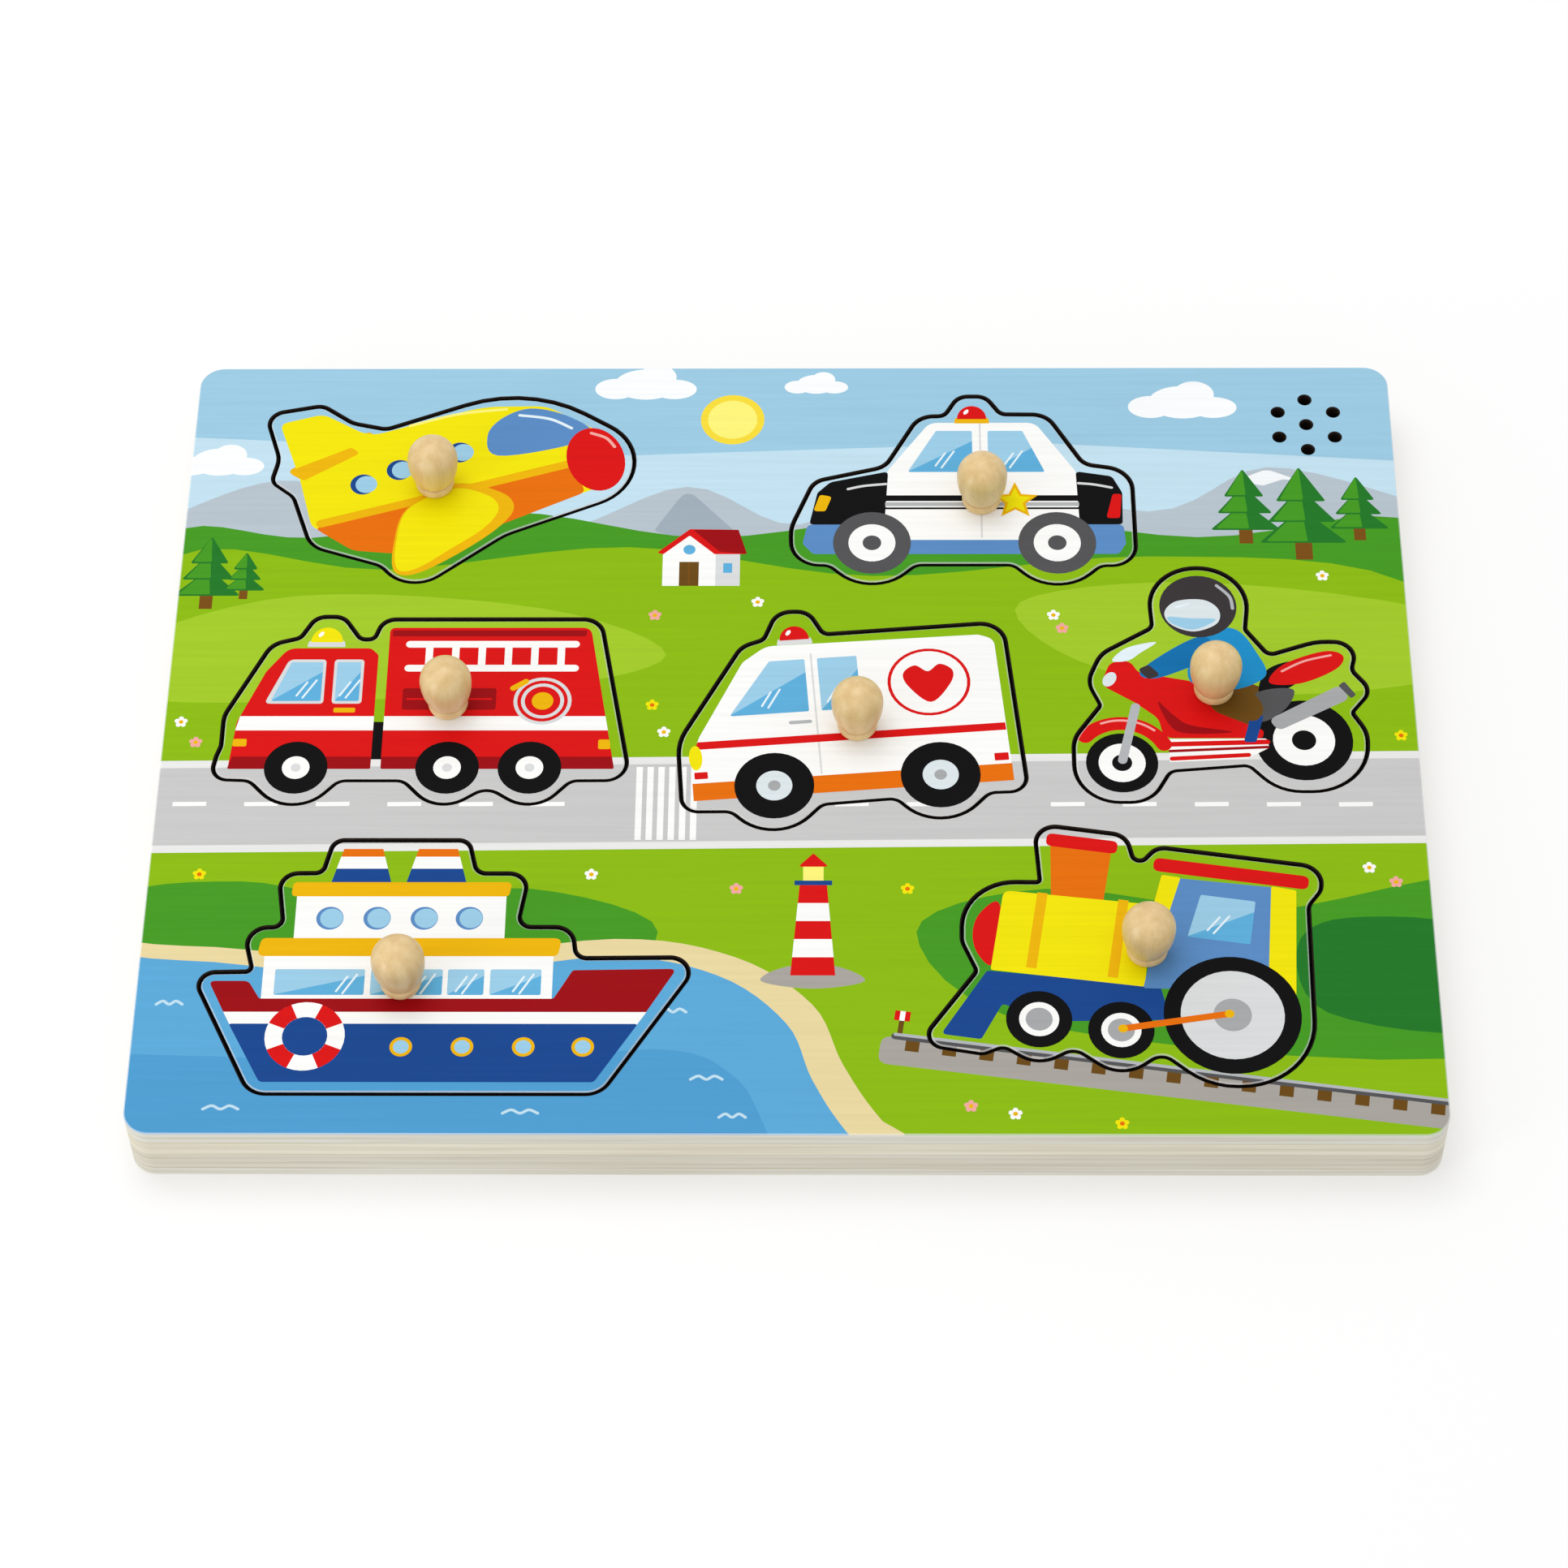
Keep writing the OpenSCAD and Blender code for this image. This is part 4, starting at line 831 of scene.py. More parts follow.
keep("train", [
    ("deep_blue", soft(1, (35.4, -85.8), (46.2, -68.6), (86, -73), (88, -82), (60, -82.4), (49.6, -77.6),
                       (44.6, -87.2))),
    ("red", smooth((49, -49.6), (44.6, -53), (43, -58.4), (44, -63.8), (47.4, -67), (50, -58))),
    ("orange", soft(0.8, (61.6, -33.6), (75.8, -35.8), (73.4, -50.4), (61.4, -49))),
    *tilted(DOWNHILL, (69, -33.2), [("red", soft(1.5, *block(60.6, -35, 77.4, -31.4)))]),
    ("yellow", soft(1.6, (50.4, -46.4, 2), (85, -50.4), (82.4, -73, 0.6), (47, -68.4, 0.6))),
    *tilted(DOWNHILL, (58, -57), [("gold", block(56.8, -68, 59.2, -47))]),
    *tilted(DOWNHILL, (77, -59), [("gold", block(75.6, -70.6, 78, -49))]),
    ("blue", soft(0.6, (87.6, -42.6), (113.4, -45.6), (110.6, -74), (82, -73.4), (85.2, -60))),
    ("yellow", soft(0.6, (87.4, -42), (91.8, -42.8), (86.4, -60), (82.6, -66), (84.8, -52))),
    ("yellow", soft(0.6, (112.8, -45.2), (118.6, -46.4), (117, -76), (111, -70))),
    *tilted(DOWNHILL, (101, -54), window((98, -58), (93.6, -60.4), (108.2, -60.4), (108.2, -48.4),
                                         (95.4, -48.4))),
    *tilted(DOWNHILL, (103.6, -41.8), [("red", soft(1.7, *block(85.4, -43.6, 121.8, -39.8)))]),
    *discs([(57.9, -81.8), (76.6, -84.7)], (7.6, "black"), (4.6, "white"), (3.1, "hub")),
    *discs([(102.2, -80.6)], (15.8, "black"), (11.9, "pale_grey"), (4.4, "hub")),
    ("orange", stroke(1.7, *ROD_ENDS)),
    *discs(ROD_ENDS, (1.1, "gold")),
])

# %% [markdown]
# ## From outlines to solid plywood
# The outline of each piece and pocket is read from the frame, so the print always fits the cut.
# A picture could be projected on the sheet, but then its edges would blur and its colours run down the walls.
# Here a constrained triangulation lays all shapes over each other inside the outline, and each small triangle
# takes the ink of the last shape that covers it. The edge of the print is eased, and walls go down from it.

# %% Outlines from the frame

# Points that lie closer than this are one point, in millimetres, and the same as a number of decimals
SAME_MM, DECIMALS = 0.001, 3
# Lower limit of a corner's spread, so that a very sharp one isn't thrown far out
LEAST_SPREAD = 0.3


def signed_area(loop):
    """Area of a loop, which is negative if it runs clockwise."""
    return sum(a[0] * b[1] - b[0] * a[1] for a, b in pairs(loop)) / 2


def counter_clockwise(loop):
    """A loop, turned round if it runs clockwise."""
    return loop if signed_area(loop) > 0 else loop[::-1]


def extent(points):
    """Lowest and highest corner of some points."""
    columns = list(zip(*points))
    return Vector(min(column) for column in columns), Vector(max(column) for column in columns)


def chained(edges):
    """Closed loops from directed edges."""
    after = dict(edges)
    loops = []
    while after:
        start, here = after.popitem()
        loop = [start]
        while here != start:
            loop.append(here)
            here = after.pop(here)
        loops.append(loop)
    return loops


def loops_at(node, level):
    """Closed outlines of a node's flat faces at a height, in millimetres, the largest first."""
    mesh = nodes[node].data
    edges = set()
    for face in mesh.polygons:
        corners = [mesh.vertices[i].co / MM for i in face.vertices]
        if all(abs(corner.z - level) < SAME_MM for corner in corners):
            for a, b in pairs([(round(corner.x, DECIMALS), round(corner.y, DECIMALS)) for corner in corners]):
                if (b, a) in edges:
                    edges.remove((b, a))
                else:
                    edges.add((a, b))
    return sorted(chained(sorted(edges)), key=lambda loop: -abs(signed_area(loop)))


def offset(loop, distance):
    """A loop moved to the right of its direction: outwards for one that runs counter-clockwise."""
    moved = []
    n = len(loop)
    for i, p in enumerate(loop):
        a = (Vector(p) - Vector(loop[i - 1])).normalized()
        b = (Vector(loop[(i + 1) % n]) - Vector(p)).normalized()
        na, nb = Vector((a.y, -a.x)), Vector((b.y, -b.x))
        shift = (na + nb) * distance / max(LEAST_SPREAD, 1 + na.dot(nb))
        moved.append((p[0] + shift.x, p[1] + shift.y))
    return moved


board_loops = loops_at("picture_board", TOP)
print("board outlines:", [round(abs(signed_area(loop))) for loop in board_loops])

# %% Shapes laid over each other

# The triangulation keeps what lies inside the outlines, and joins points that lie this close, in millimetres
KEEP_INSIDE, JOIN_MM = 1, 1e-4


def triangulated(loops):
    """Points and triangles of loops laid over each other, each point's sources and each triangle's loops."""
    points, faces = [], []
    for loop in loops:
        faces.append(list(range(len(points), len(points) + len(loop))))
        points += [Vector(p) for p in counter_clockwise(loop)]
    made, _, triangles, sources, _, covers = delaunay_2d_cdt(points, [], faces, KEEP_INSIDE, JOIN_MM)
    return made, triangles, sources, covers


def overlaps(outline, low, high):
    """Whether the box of an outline meets another box."""
    start, end = extent(outline)
    return start.x < high.x and end.x > low.x and start.y < high.y and end.y > low.y


def laid_over(mask, ease, layers):
    """Points, triangles and inks inside a mask of loops that is drawn in by the ease.

    A layer is a clip loop or None, and its shapes.
    The last value gives the mask's own corner for each drawn-in one.
    """
    low, high = extent(mask[0])
    cut = [p for loop in mask for p in counter_clockwise(loop)]
    loops = [offset(loop, -ease) for loop in mask]
    meaning = [(None, None)] * len(mask)
    for clip, shapes in layers:
        gate = len(loops) if clip else None
        if clip:
            loops.append(clip)
            meaning.append((None, None))
        for ink, outline in shapes:
            if overlaps(outline, low, high):
                loops.append(outline)
                meaning.append((gate, ink))
    made, triangles, sources, covers = triangulated(loops)
    kept, inks = [], []
    for triangle, cover in zip(triangles, covers):
        if 0 not in cover or any(0 < c < len(mask) for c in cover):
            continue
        tints = [meaning[c][1] for c in sorted(cover) if meaning[c][0] is None or meaning[c][0] in cover]
        kept.append(triangle)
        inks.append(next((tint for tint in reversed(tints) if tint), None))
    used = sorted({i for triangle in kept for i in triangle})
    number = {i: k for k, i in enumerate(used)}
    corners = {number[i]: cut[min(sources[i])] for i in used if sources[i] and min(sources[i]) < len(cut)}
    flat = [tuple(made[i]) for i in used]
    return flat, [tuple(number[i] for i in triangle) for triangle in kept], inks, corners


def moved_to_cut(rim, flat, corners):
    """A drawn-in rim back on the mask: corners have their places there, points between keep their share."""
    fixed = [k for k, i in enumerate(rim) if i in corners]
    moved = {}
    for a, b in zip(fixed, fixed[1:] + [fixed[0] + len(rim)]):
        first, last = rim[a], rim[b % len(rim)]
        start, stretch = Vector(flat[first]), Vector(flat[last]) - Vector(flat[first])
        for k in range(a, b):
            i = rim[k % len(rim)]
            share = (Vector(flat[i]) - start).length / stretch.length
            moved[i] = tuple(Vector(corners[first]).lerp(Vector(corners[last]), share))
    return [moved[i] for i in rim]


print("painter ready")

# %% A shell that is built face by face

PRINTED, CHARRED, BARE = range(3)
WHITE = INK_COLOURS["white"]
SHEET_SHARP = 25


def put(name, data):
    """A new object in the scene, at the origin."""
    item = bpy.data.objects.new(name, data)
    bpy.context.scene.collection.objects.link(item)
    return item


def shaded(mesh, sharp):
    """A mesh with its edges sharp from this many degrees, and smooth below."""
    mesh.set_sharp_from_angle(angle=math.radians(sharp))
    return mesh


class Shell:
    """Points, faces, material slots and inks of a closed sheet while it is built."""

    def __init__(self):
        self.points, self.faces, self.slots, self.inks = [], [], [], []

    def ring(self, loop, height):
        """Add a loop of points at a height and return their numbers."""
        first = len(self.points)
        self.points += [(x * MM, y * MM, height * MM) for x, y in loop]
        return list(range(first, len(self.points)))

    def face(self, corners, slot, ink=WHITE):
        self.faces.append(corners)
        self.slots.append(slot)
        self.inks.append(ink)

    def wall(self, upper, lower, slot, inks=None):
        """Faces between two rings; the solid lies to the left of their direction."""
        for k, tint in enumerate(inks or [WHITE] * len(upper)):
            j = (k + 1) % len(upper)
            self.face([upper[j], upper[k], lower[k], lower[j]], slot, tint)

    def underside(self, feet):
        """Close the sheet from below, between the loops on which its walls stand."""
        numbers = [i for loop, ring in feet for i in (ring if signed_area(loop) > 0 else ring[::-1])]
        outer = max(range(len(feet)), key=lambda i: abs(signed_area(feet[i][0])))
        _, triangles, sources, covers = triangulated([loop for loop, _ in feet])
        for triangle, cover in zip(triangles, covers):
            if list(cover) == [outer]:
                self.face([numbers[sources[i][0]] for i in reversed(triangle)], BARE)

    def piece(self, name):
        """The finished object, with the ink of each face on its corners."""
        mesh = bpy.data.meshes.new(name)
        mesh.from_pydata(self.points, [], self.faces)
        for material in (PRINT, CHAR, PLYWOOD):
            mesh.materials.append(material)
        mesh.polygons.foreach_set("material_index", self.slots)
        ink = mesh.attributes.new("ink", "FLOAT_COLOR", "CORNER")
        for face, colour in zip(mesh.polygons, self.inks):
            for corner in face.loop_indices:
                ink.data[corner].color = colour
        return put(name, shaded(mesh, SHEET_SHARP))


print("slots of a sheet: printed, charred, bare")

# %% Printed sheets

# Share of white in the ink of an eased edge: a painted highlight of the rounded lacquer, on the white ground
# that shows there
RIM_GROUND_AND_HIGHLIGHT = 0.4
EASE = 0.3


def ground_and_highlight_rim(ink):
    """The ink on the eased edge, mixed towards white: a painted highlight of the rounded lacquer, on the
    white ground that shows through.
    """
    return (*[c + (1 - c) * RIM_GROUND_AND_HIGHLIGHT for c in INK_COLOURS[ink or "white"][:3]], 1.0)


def printed_sheet(name, mask, layers, low, high, ease, edge, cut, blind_holes=()):
    """A sheet with a printed top; edge and cut are the finishes of its outer wall and of the holes' walls."""
    shell = Shell()
    flat, triangles, inks, corners = laid_over(mask, ease, layers)
    shell.ring(flat, high)
    owner = {}
    for triangle, ink in zip(triangles, inks):
        shell.face(list(triangle), PRINTED if ink else BARE, INK_COLOURS[ink or "white"])
        owner.update((way, ink) for way in pairs(triangle))
    feet = []
    for rim in chained(sorted(way for way in owner if way[::-1] not in owner)):
        outline = moved_to_cut(rim, flat, corners)
        is_hole = signed_area(outline) < 0
        shoulder = shell.ring(outline, high - ease)
        foot = shell.ring(outline, low)
        # The eased rim gets its neighbour's ink mixed towards white, a painted highlight together with the
        # white ground
        shell.wall(rim, shoulder, cut if is_hole else PRINTED, [ground_and_highlight_rim(owner[way]) for way in pairs(rim)])
        shell.wall(shoulder, foot, cut if is_hole else edge)
        feet.append((outline, foot))
    for levels in blind_holes:
        rings = [shell.ring(loop, height) for loop, height in levels]
        for lower, upper in zip(rings, rings[1:]):
            shell.wall(upper, lower, BARE)
        shell.face(rings[-1], BARE)
        feet.append((levels[0][0], rings[0]))
    shell.underside(feet)
    return shell.piece(name)


def hand_over(piece, body, slot, *replaced):
    """Let a finished piece ride on its body and stand for its CAD nodes."""
    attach(piece, body)
    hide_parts(*replaced)
    print(f"{piece.name}: {len(piece.data.polygons)} faces, rides on {body}")


scenery = [(None, LANDSCAPE)]
board = printed_sheet("printed_board", board_loops, scenery, PICTURE_FLOOR, TOP, EASE, BARE, CHARRED)
hand_over(board, "board", "printed_board", "picture_board")

# %% [markdown]
# ## The seven pieces
# A piece is cut from the same printed sheet, so the landscape runs on round its vehicle.
# Its underside has the countersunk hole of the knob's screw. A boolean cut could make it, but its mouth is
# read from the frame like the outline, so that two rings with a wall between them are enough.

# %% Pieces with their countersunk holes

SINK_DEPTH = 1.4
SINK_END = 0.52


def countersink(node):
    """Loops of the screw hole in a piece's underside, from the wide mouth to the shank."""
    mouth = loops_at(node, PICTURE_FLOOR)[1][::-1]
    middle = sum((Vector(p) for p in mouth), Vector((0, 0))) / len(mouth)
    shank = [tuple(middle.lerp(Vector(p), SINK_END)) for p in mouth]
    return [(mouth, PICTURE_FLOOR), (shank, PICTURE_FLOOR + SINK_DEPTH)]


for name in vehicles:
    picture = [(None, LANDSCAPE + DRAWINGS[name])]
    outline = loops_at(name, TOP)[:1]
    piece = printed_sheet(f"printed_{name}", outline, picture, PICTURE_FLOOR, TOP, EASE, CHARRED, BARE,
                          [countersink(name)])
    hand_over(piece, name, f"printed_{name}", name)

# %% [markdown]
# ## The floor of the pockets
# When a piece is lifted, the floor of its pocket shows the same vehicle, so a child sees what belongs there.
# It is printed on the sheet below, whose openings for sensors, speaker and battery box come from the frame.
# The drawings are used once more, each clipped to its pocket, so floor and piece can't differ.
# A margin of black ink runs round each picture as painted shade, so that the gap round a piece stays dark.

# %% Pocket floor

FLOOR_EASE = 0.05
# Width in millimetres of the black margin round each picture, painted shade under the gap round its piece
PAINTED_SHADE_MARGIN = 1.6


def centre_of(loop):
    low, high = extent(loop)
    return (low + high) / 2


floor_low, floor_high = (corner.z for corner in box_mm("pocket_floor"))
pictures = []
for name in vehicles:
    middle = centre_of(loops_at(name, TOP)[0])
    pocket = min(board_loops[1:], key=lambda loop: (centre_of(loop) - middle).length)
    ground = offset(pocket, PAINTED_SHADE_MARGIN)
    # Each pocket is first inked black as painted shade, and its picture then covers all but the margin
    pictures += [(pocket, [("black", pocket)]), (ground, [("cloud", ground), *DRAWINGS[name]])]
floor_loops = loops_at("pocket_floor", floor_high)
pocket_floor = printed_sheet("printed_pocket_floor", floor_loops, pictures, floor_low, floor_high, FLOOR_EASE,
                             BARE, BARE)
hand_over(pocket_floor, "board", "bare_plywood", "pocket_floor")

# %% [markdown]
# ## Geometry Nodes helpers
# Knobs, screws and springs repeat, so each is one node tree with named sizes.
# They could be meshes that a script copies, but in a tree each size stays an input to try out by hand.
# A small mesh of points or a profile goes in, and a plain mesh comes out, ready to ride on its body.

# %% Trees in and meshes out


def new_tree(name, **inputs):
    """A geometry tree with named inputs, and the sockets of those inputs."""
    tree = bpy.data.node_groups.new(name, "GeometryNodeTree")
    tree.interface.new_socket("Geometry", in_out="INPUT", socket_type="NodeSocketGeometry")
    for label, kind in inputs.items():
        tree.interface.new_socket(label, in_out="INPUT", socket_type=f"NodeSocket{kind}")
    tree.interface.new_socket("Geometry", in_out="OUTPUT", socket_type="NodeSocketGeometry")
    return tree, add(tree, "NodeGroupInput").outputs


def end_tree(tree, geometry, material):
    """Close a tree with real geometry in its material."""
    real = add(tree, "GeometryNodeRealizeInstances", {0: geometry})
    dressed = add(tree, "GeometryNodeSetMaterial", {"Geometry": real, "Material": material})
    add(tree, "NodeGroupOutput", {0: dressed})
    print("tree:", tree.name, "with", len(tree.nodes), "nodes")
    return tree


def grow(name, tree, sharp, points, edges=(), **values):
    """Run a tree on a few points and edges in metres, and keep the result as a plain mesh."""
    seed = bpy.data.meshes.new(f"{name}_seed")
    seed.from_pydata(points, edges, [])
    source = put(f"{name}_seed", seed)
    modifier = source.modifiers.new("nodes", "NODES")
    modifier.node_group = tree
    for item in tree.interface.items_tree:
        if item.in_out == "INPUT" and item.name in values:
            modifier[item.identifier] = values[item.name]
    evaluated = source.evaluated_get(bpy.context.evaluated_depsgraph_get())
    mesh = bpy.data.meshes.new_from_object(evaluated)
    mesh.name = name
    source.modifiers.remove(modifier)
    bpy.data.objects.remove(source)
    bpy.data.meshes.remove(seed)
    return put(name, shaded(mesh, sharp))


print("geometry helpers ready")

# %% [markdown]
# ## Turned beech
# The knobs are turned from beech and lightly oiled: a warm, pale tan with a satin shine.
# The grain runs up the knob, with short darker flecks, and shows as small dots on the crown.
# Both come from the same streaky noise, long for the figure and short for the flecks.

# %% Beech


def turned_beech():
    material, tree, shader = new_material("turned beech")
    figure = grain(tree, along=30, across=2.6, axes="Z", detail=3.0)
    wood = add(tree, RAMP, {"Fac": figure}, [(0.3, "#DAB97F"), (0.5, "#E1C28B"), (0.7, "#E8CC97")])
    flecks = grain(tree, along=2.4, across=0.28, axes="Z", detail=1.0)
    fleck = add(tree, RAMP, {"Fac": flecks}, [(0.66, "#FFFFFF"), (0.76, "#E3CBA4")])
    flecked = add(tree, MIX, {SHARE: 0.6, UNDER: wood, OVER: fleck}, **MULTIPLIED)
    gloss = add(tree, RANGE, {"Value": figure, "To Min": 0.3, "To Max": 0.4})
    relief = add(tree, BUMP, {"Height": flecks, "Distance": 0.008 * MM})
    feed(shader, {"Base Color": flecked, "Roughness": gloss, "Normal": relief})
    feed(shader, {"IOR": 1.5, "Specular IOR Level": 0.45})
    return material


BEECH = turned_beech()
print("material:", BEECH.name)

# %% [markdown]
# ## Knobs on a lathe
# A knob is a turned body: a small foot bead, a slim neck and an egg-shaped head.
# A Screw modifier could turn its profile too. A lathe is a rule, so here a tree does it: a grid of rings and
# sides is bent round the axis, and each ring takes its radius and height from the profile.
# The profile's arcs come from the knob's own box in the frame.

# %% Lathe tree

# Points of the seam and of both poles that meet within this distance become one
WELD = 0.002 * MM


def lathe_tree():
    tree, sizes = new_tree("lathe", Rings="Int", Sides="Int", Place="Vector", Finish="Material")
    profile = add(tree, "GeometryNodeMeshToCurve", {"Mesh": sizes["Geometry"]})
    seam = add(tree, MATH, {0: sizes["Sides"], 1: 1.0}, operation="ADD")
    span = {"Size X": 1.0, "Size Y": 1.0, "Vertices X": sizes["Rings"], "Vertices Y": seam}
    grid = add(tree, "GeometryNodeMeshGrid", span)
    spot = add(tree, SPLIT, {0: add(tree, "GeometryNodeInputPosition")}).outputs
    along = add(tree, MATH, {0: spot["X"], 1: 0.5}, operation="ADD")
    angle = add(tree, MATH, {0: spot["Y"], 1: -math.tau}, operation="MULTIPLY")
    sample = add(tree, "GeometryNodeSampleCurve", {"Curves": profile, "Factor": along}, mode="FACTOR")
    swing = {"Vector": sample.outputs["Position"], "Angle": angle}
    swung = add(tree, "ShaderNodeVectorRotate", swing, rotation_type="Z_AXIS")
    placed = add(tree, "ShaderNodeVectorMath", {0: swung, 1: sizes["Place"]}, operation="ADD")
    bent = add(tree, "GeometryNodeSetPosition", {"Geometry": grid, "Position": placed})
    closed = add(tree, "GeometryNodeMergeByDistance", {"Geometry": bent, "Distance": WELD})
    return end_tree(tree, closed, sizes["Finish"])


LATHE = lathe_tree()

# %% Seven knobs

FOOT_RADIUS, FOOT_HEIGHT, FOOT_ROUND = 4.8, 2.4, 0.5
HEAD_CENTRE, HEAD_STRETCH, NECK_ANGLE = 9.8, 10.5, 44.8
GROOVE = 0.5
# Steps of the profile's three arcs, and then the rings and sides of the mesh and its shading
FOOT_STEPS, NECK_STEPS, CROWN_STEPS = 10, 16, 20
RINGS, SIDES, KNOB_SHARP = 112, 64, 40


def knob_profile(radius, height):
    """Radius and height from the foot's middle to the crown: foot bead, groove, egg-shaped head."""
    points = [(0.0, 0.0)]
    for k in range(FOOT_STEPS + 1):
        t = math.radians(180 * k / FOOT_STEPS - 90)
        points.append((FOOT_RADIUS - FOOT_ROUND * (1 - math.cos(t)), FOOT_HEIGHT * (1 + math.sin(t)) / 2))
    neck = radius * math.cos(math.radians(NECK_ANGLE))
    points += [(neck - GROOVE, FOOT_HEIGHT), (neck - GROOVE, FOOT_HEIGHT + GROOVE)]
    for k in range(1, NECK_STEPS + 1):
        t = math.radians(NECK_ANGLE * (1 - k / NECK_STEPS))
        points.append((radius * math.cos(t), HEAD_CENTRE - HEAD_STRETCH * math.sin(t)))
    for k in range(1, CROWN_STEPS + 1):
        t = math.radians(90 * k / CROWN_STEPS)
        points.append((radius * math.cos(t), HEAD_CENTRE + (height - HEAD_CENTRE) * math.sin(t)))
    return [(r * MM, 0.0, z * MM) for r, z in points]


for name in vehicles:
    low, high = box_mm(f"{name}_knob")
    profile = knob_profile((high.x - low.x) / 2, high.z - low.z)
    edges = [(i, i + 1) for i in range(len(profile) - 1)]
    place = Vector(((low.x + high.x) / 2, (low.y + high.y) / 2, low.z)) * MM
    knob = grow(f"turned_knob_{name}", LATHE, KNOB_SHARP, profile, edges, Rings=RINGS, Sides=SIDES,
                Place=place, Finish=BEECH)
    hand_over(knob, name, "turned_beech", f"{name}_knob")

# %% [markdown]
# ## Zinc-plated steel
# Screws, springs and contact plates are bright zinc on steel: grey, a little blue, with a soft, uneven shine.
# A mirror-smooth metal would look like chrome, so a fine bloom varies both tone and roughness.
# The same recipe, two close tones in specks with a shine that follows them, serves the plastics further down.

# %% Speckled finishes and steel


def speckled(name, dark, pale, speck, rough, relief=0.0, shine=0.5, spread=0.06, metal=0.0):
    """A material of two close tones in specks; their size and relief are in millimetres."""
    material, tree, shader = new_material(name)
    specks = grain(tree, along=speck, across=speck, detail=3.0)
    tone = add(tree, RAMP, {"Fac": specks}, [(0.35, dark), (0.65, pale)])
    gloss = add(tree, RANGE, {"Value": specks, "To Min": rough - spread, "To Max": rough + spread})
    feed(shader, {"Base Color": tone, "Roughness": gloss, "Specular IOR Level": shine, "Metallic": metal})
    if relief:
        feed(shader, {"Normal": add(tree, BUMP, {"Height": specks, "Distance": relief * MM})})
    return material


STEEL = speckled("zinc-plated steel", "#B9BEC4", "#D4D6D6", speck=0.9, rough=0.33, spread=0.09, metal=1.0)
print("material:", STEEL.name)

# %% [markdown]
# ## Wood screws
# Every screw is a countersunk cross-head wood screw with its head downwards, in one of a few sizes.
# A plain cone would do from afar, but the underside can be looked at closely.
# One tree makes the head with its recess, the tapered core and the thread as a swept spiral, joins them into
# one solid and sets a copy on each point that it is given. It works in millimetres, since fine cuts need
# handy numbers, and each copy is scaled down to metres.

# %% Screw tree

# Radii and cross recess of a screw, each as a share of one of its named sizes
SCREW_SHARES = {
    "head radius": ("Head", 0.5),
    "shank radius": ("Shank", 0.5),
    "core radius": ("Shank", 0.36),
    "recess length": ("Head", 0.62),
    "recess width": ("Head", 0.17),
    "recess depth": ("Bevel", 1.1),
}
TIP_SHARE = 0.3
HEAD_SIDES, CORE_SIDES, THREAD_STEPS, THREAD_SIDES = 40, 24, 16, 3


def screw_tree():
    tree, sizes = new_tree("wood screw", Head="Float", Bevel="Float", Shank="Float", Length="Float",
                           Pitch="Float", Finish="Material")
    part = {name: add(tree, MATH, {0: sizes[size], 1: share}, operation="MULTIPLY")
            for name, (size, share) in SCREW_SHARES.items()}
    core = part["core radius"]
    tip = add(tree, MATH, {0: core, 1: TIP_SHARE}, operation="MULTIPLY")
    ridge = add(tree, MATH, {0: part["shank radius"], 1: core}, operation="SUBTRACT")
    rest = add(tree, MATH, {0: sizes["Length"], 1: sizes["Bevel"]}, operation="SUBTRACT")
    turns = add(tree, MATH, {0: rest, 1: sizes["Pitch"]}, operation="DIVIDE")
    cone = {"Radius Top": core, "Radius Bottom": part["head radius"], "Depth": sizes["Bevel"]}
    head = add(tree, "GeometryNodeMeshCone", {"Vertices": HEAD_SIDES, **cone})
    for x, y in (("recess length", "recess width"), ("recess width", "recess length")):
        size = add(tree, "ShaderNodeCombineXYZ", {"X": part[x], "Y": part[y], "Z": part["recess depth"]})
        cutter = {"Mesh 1": head, "Mesh 2": add(tree, "GeometryNodeMeshCube", {"Size": size})}
        head = add(tree, "GeometryNodeMeshBoolean", cutter, operation="DIFFERENCE", solver="MANIFOLD")
    cone = {"Radius Top": tip, "Radius Bottom": core, "Depth": rest}
    shank = add(tree, "GeometryNodeMeshCone", {"Vertices": CORE_SIDES, **cone})
    climb = {"Rotations": turns, "Start Radius": core, "End Radius": tip, "Height": rest}
    spiral = add(tree, "GeometryNodeCurveSpiral", {"Resolution": THREAD_STEPS, **climb})
    blade = add(tree, "GeometryNodeCurvePrimitiveCircle", {"Resolution": THREAD_SIDES, "Radius": ridge})
    sweep = {"Curve": spiral, "Profile Curve": blade, "Fill Caps": True}
    thread = add(tree, "GeometryNodeCurveToMesh", sweep)
    up = add(tree, "ShaderNodeCombineXYZ", {"Z": sizes["Bevel"]})
    whole = add(tree, "GeometryNodeMeshBoolean", {"Mesh 2": head}, operation="UNION", solver="MANIFOLD")
    for solid in (shank, thread):
        raised = add(tree, "GeometryNodeTransform", {"Geometry": solid, "Translation": up})
        feed(whole, {"Mesh 2": raised})
    spread = {"Points": sizes["Geometry"], "Instance": whole, "Scale": (MM, MM, MM)}
    copies = add(tree, "GeometryNodeInstanceOnPoints", spread)
    return end_tree(tree, copies, sizes["Finish"])


SCREW = screw_tree()

# %% All screws

SCREW_SHARP = 30


def merged(node):
    """A copy of a CAD node, whose triangles are loose, as one connected mesh to work on."""
    work = bmesh.new()
    work.from_mesh(nodes[node].data)
    bmesh.ops.remove_doubles(work, verts=work.verts, dist=SAME_MM * MM)
    return work


def clusters(node):
    """Boxes of a node's separate solids, in millimetres."""
    work = merged(node)
    left = set(work.verts)
    boxes = []
    while left:
        stack = [left.pop()]
        island = []
        while stack:
            vertex = stack.pop()
            island.append(vertex.co / MM)
            linked = {edge.other_vert(vertex) for edge in vertex.link_edges} & left
            left -= linked
            stack += linked
        boxes.append(extent(island))
    work.free()
    return sorted(boxes, key=lambda box: tuple(box[0]))


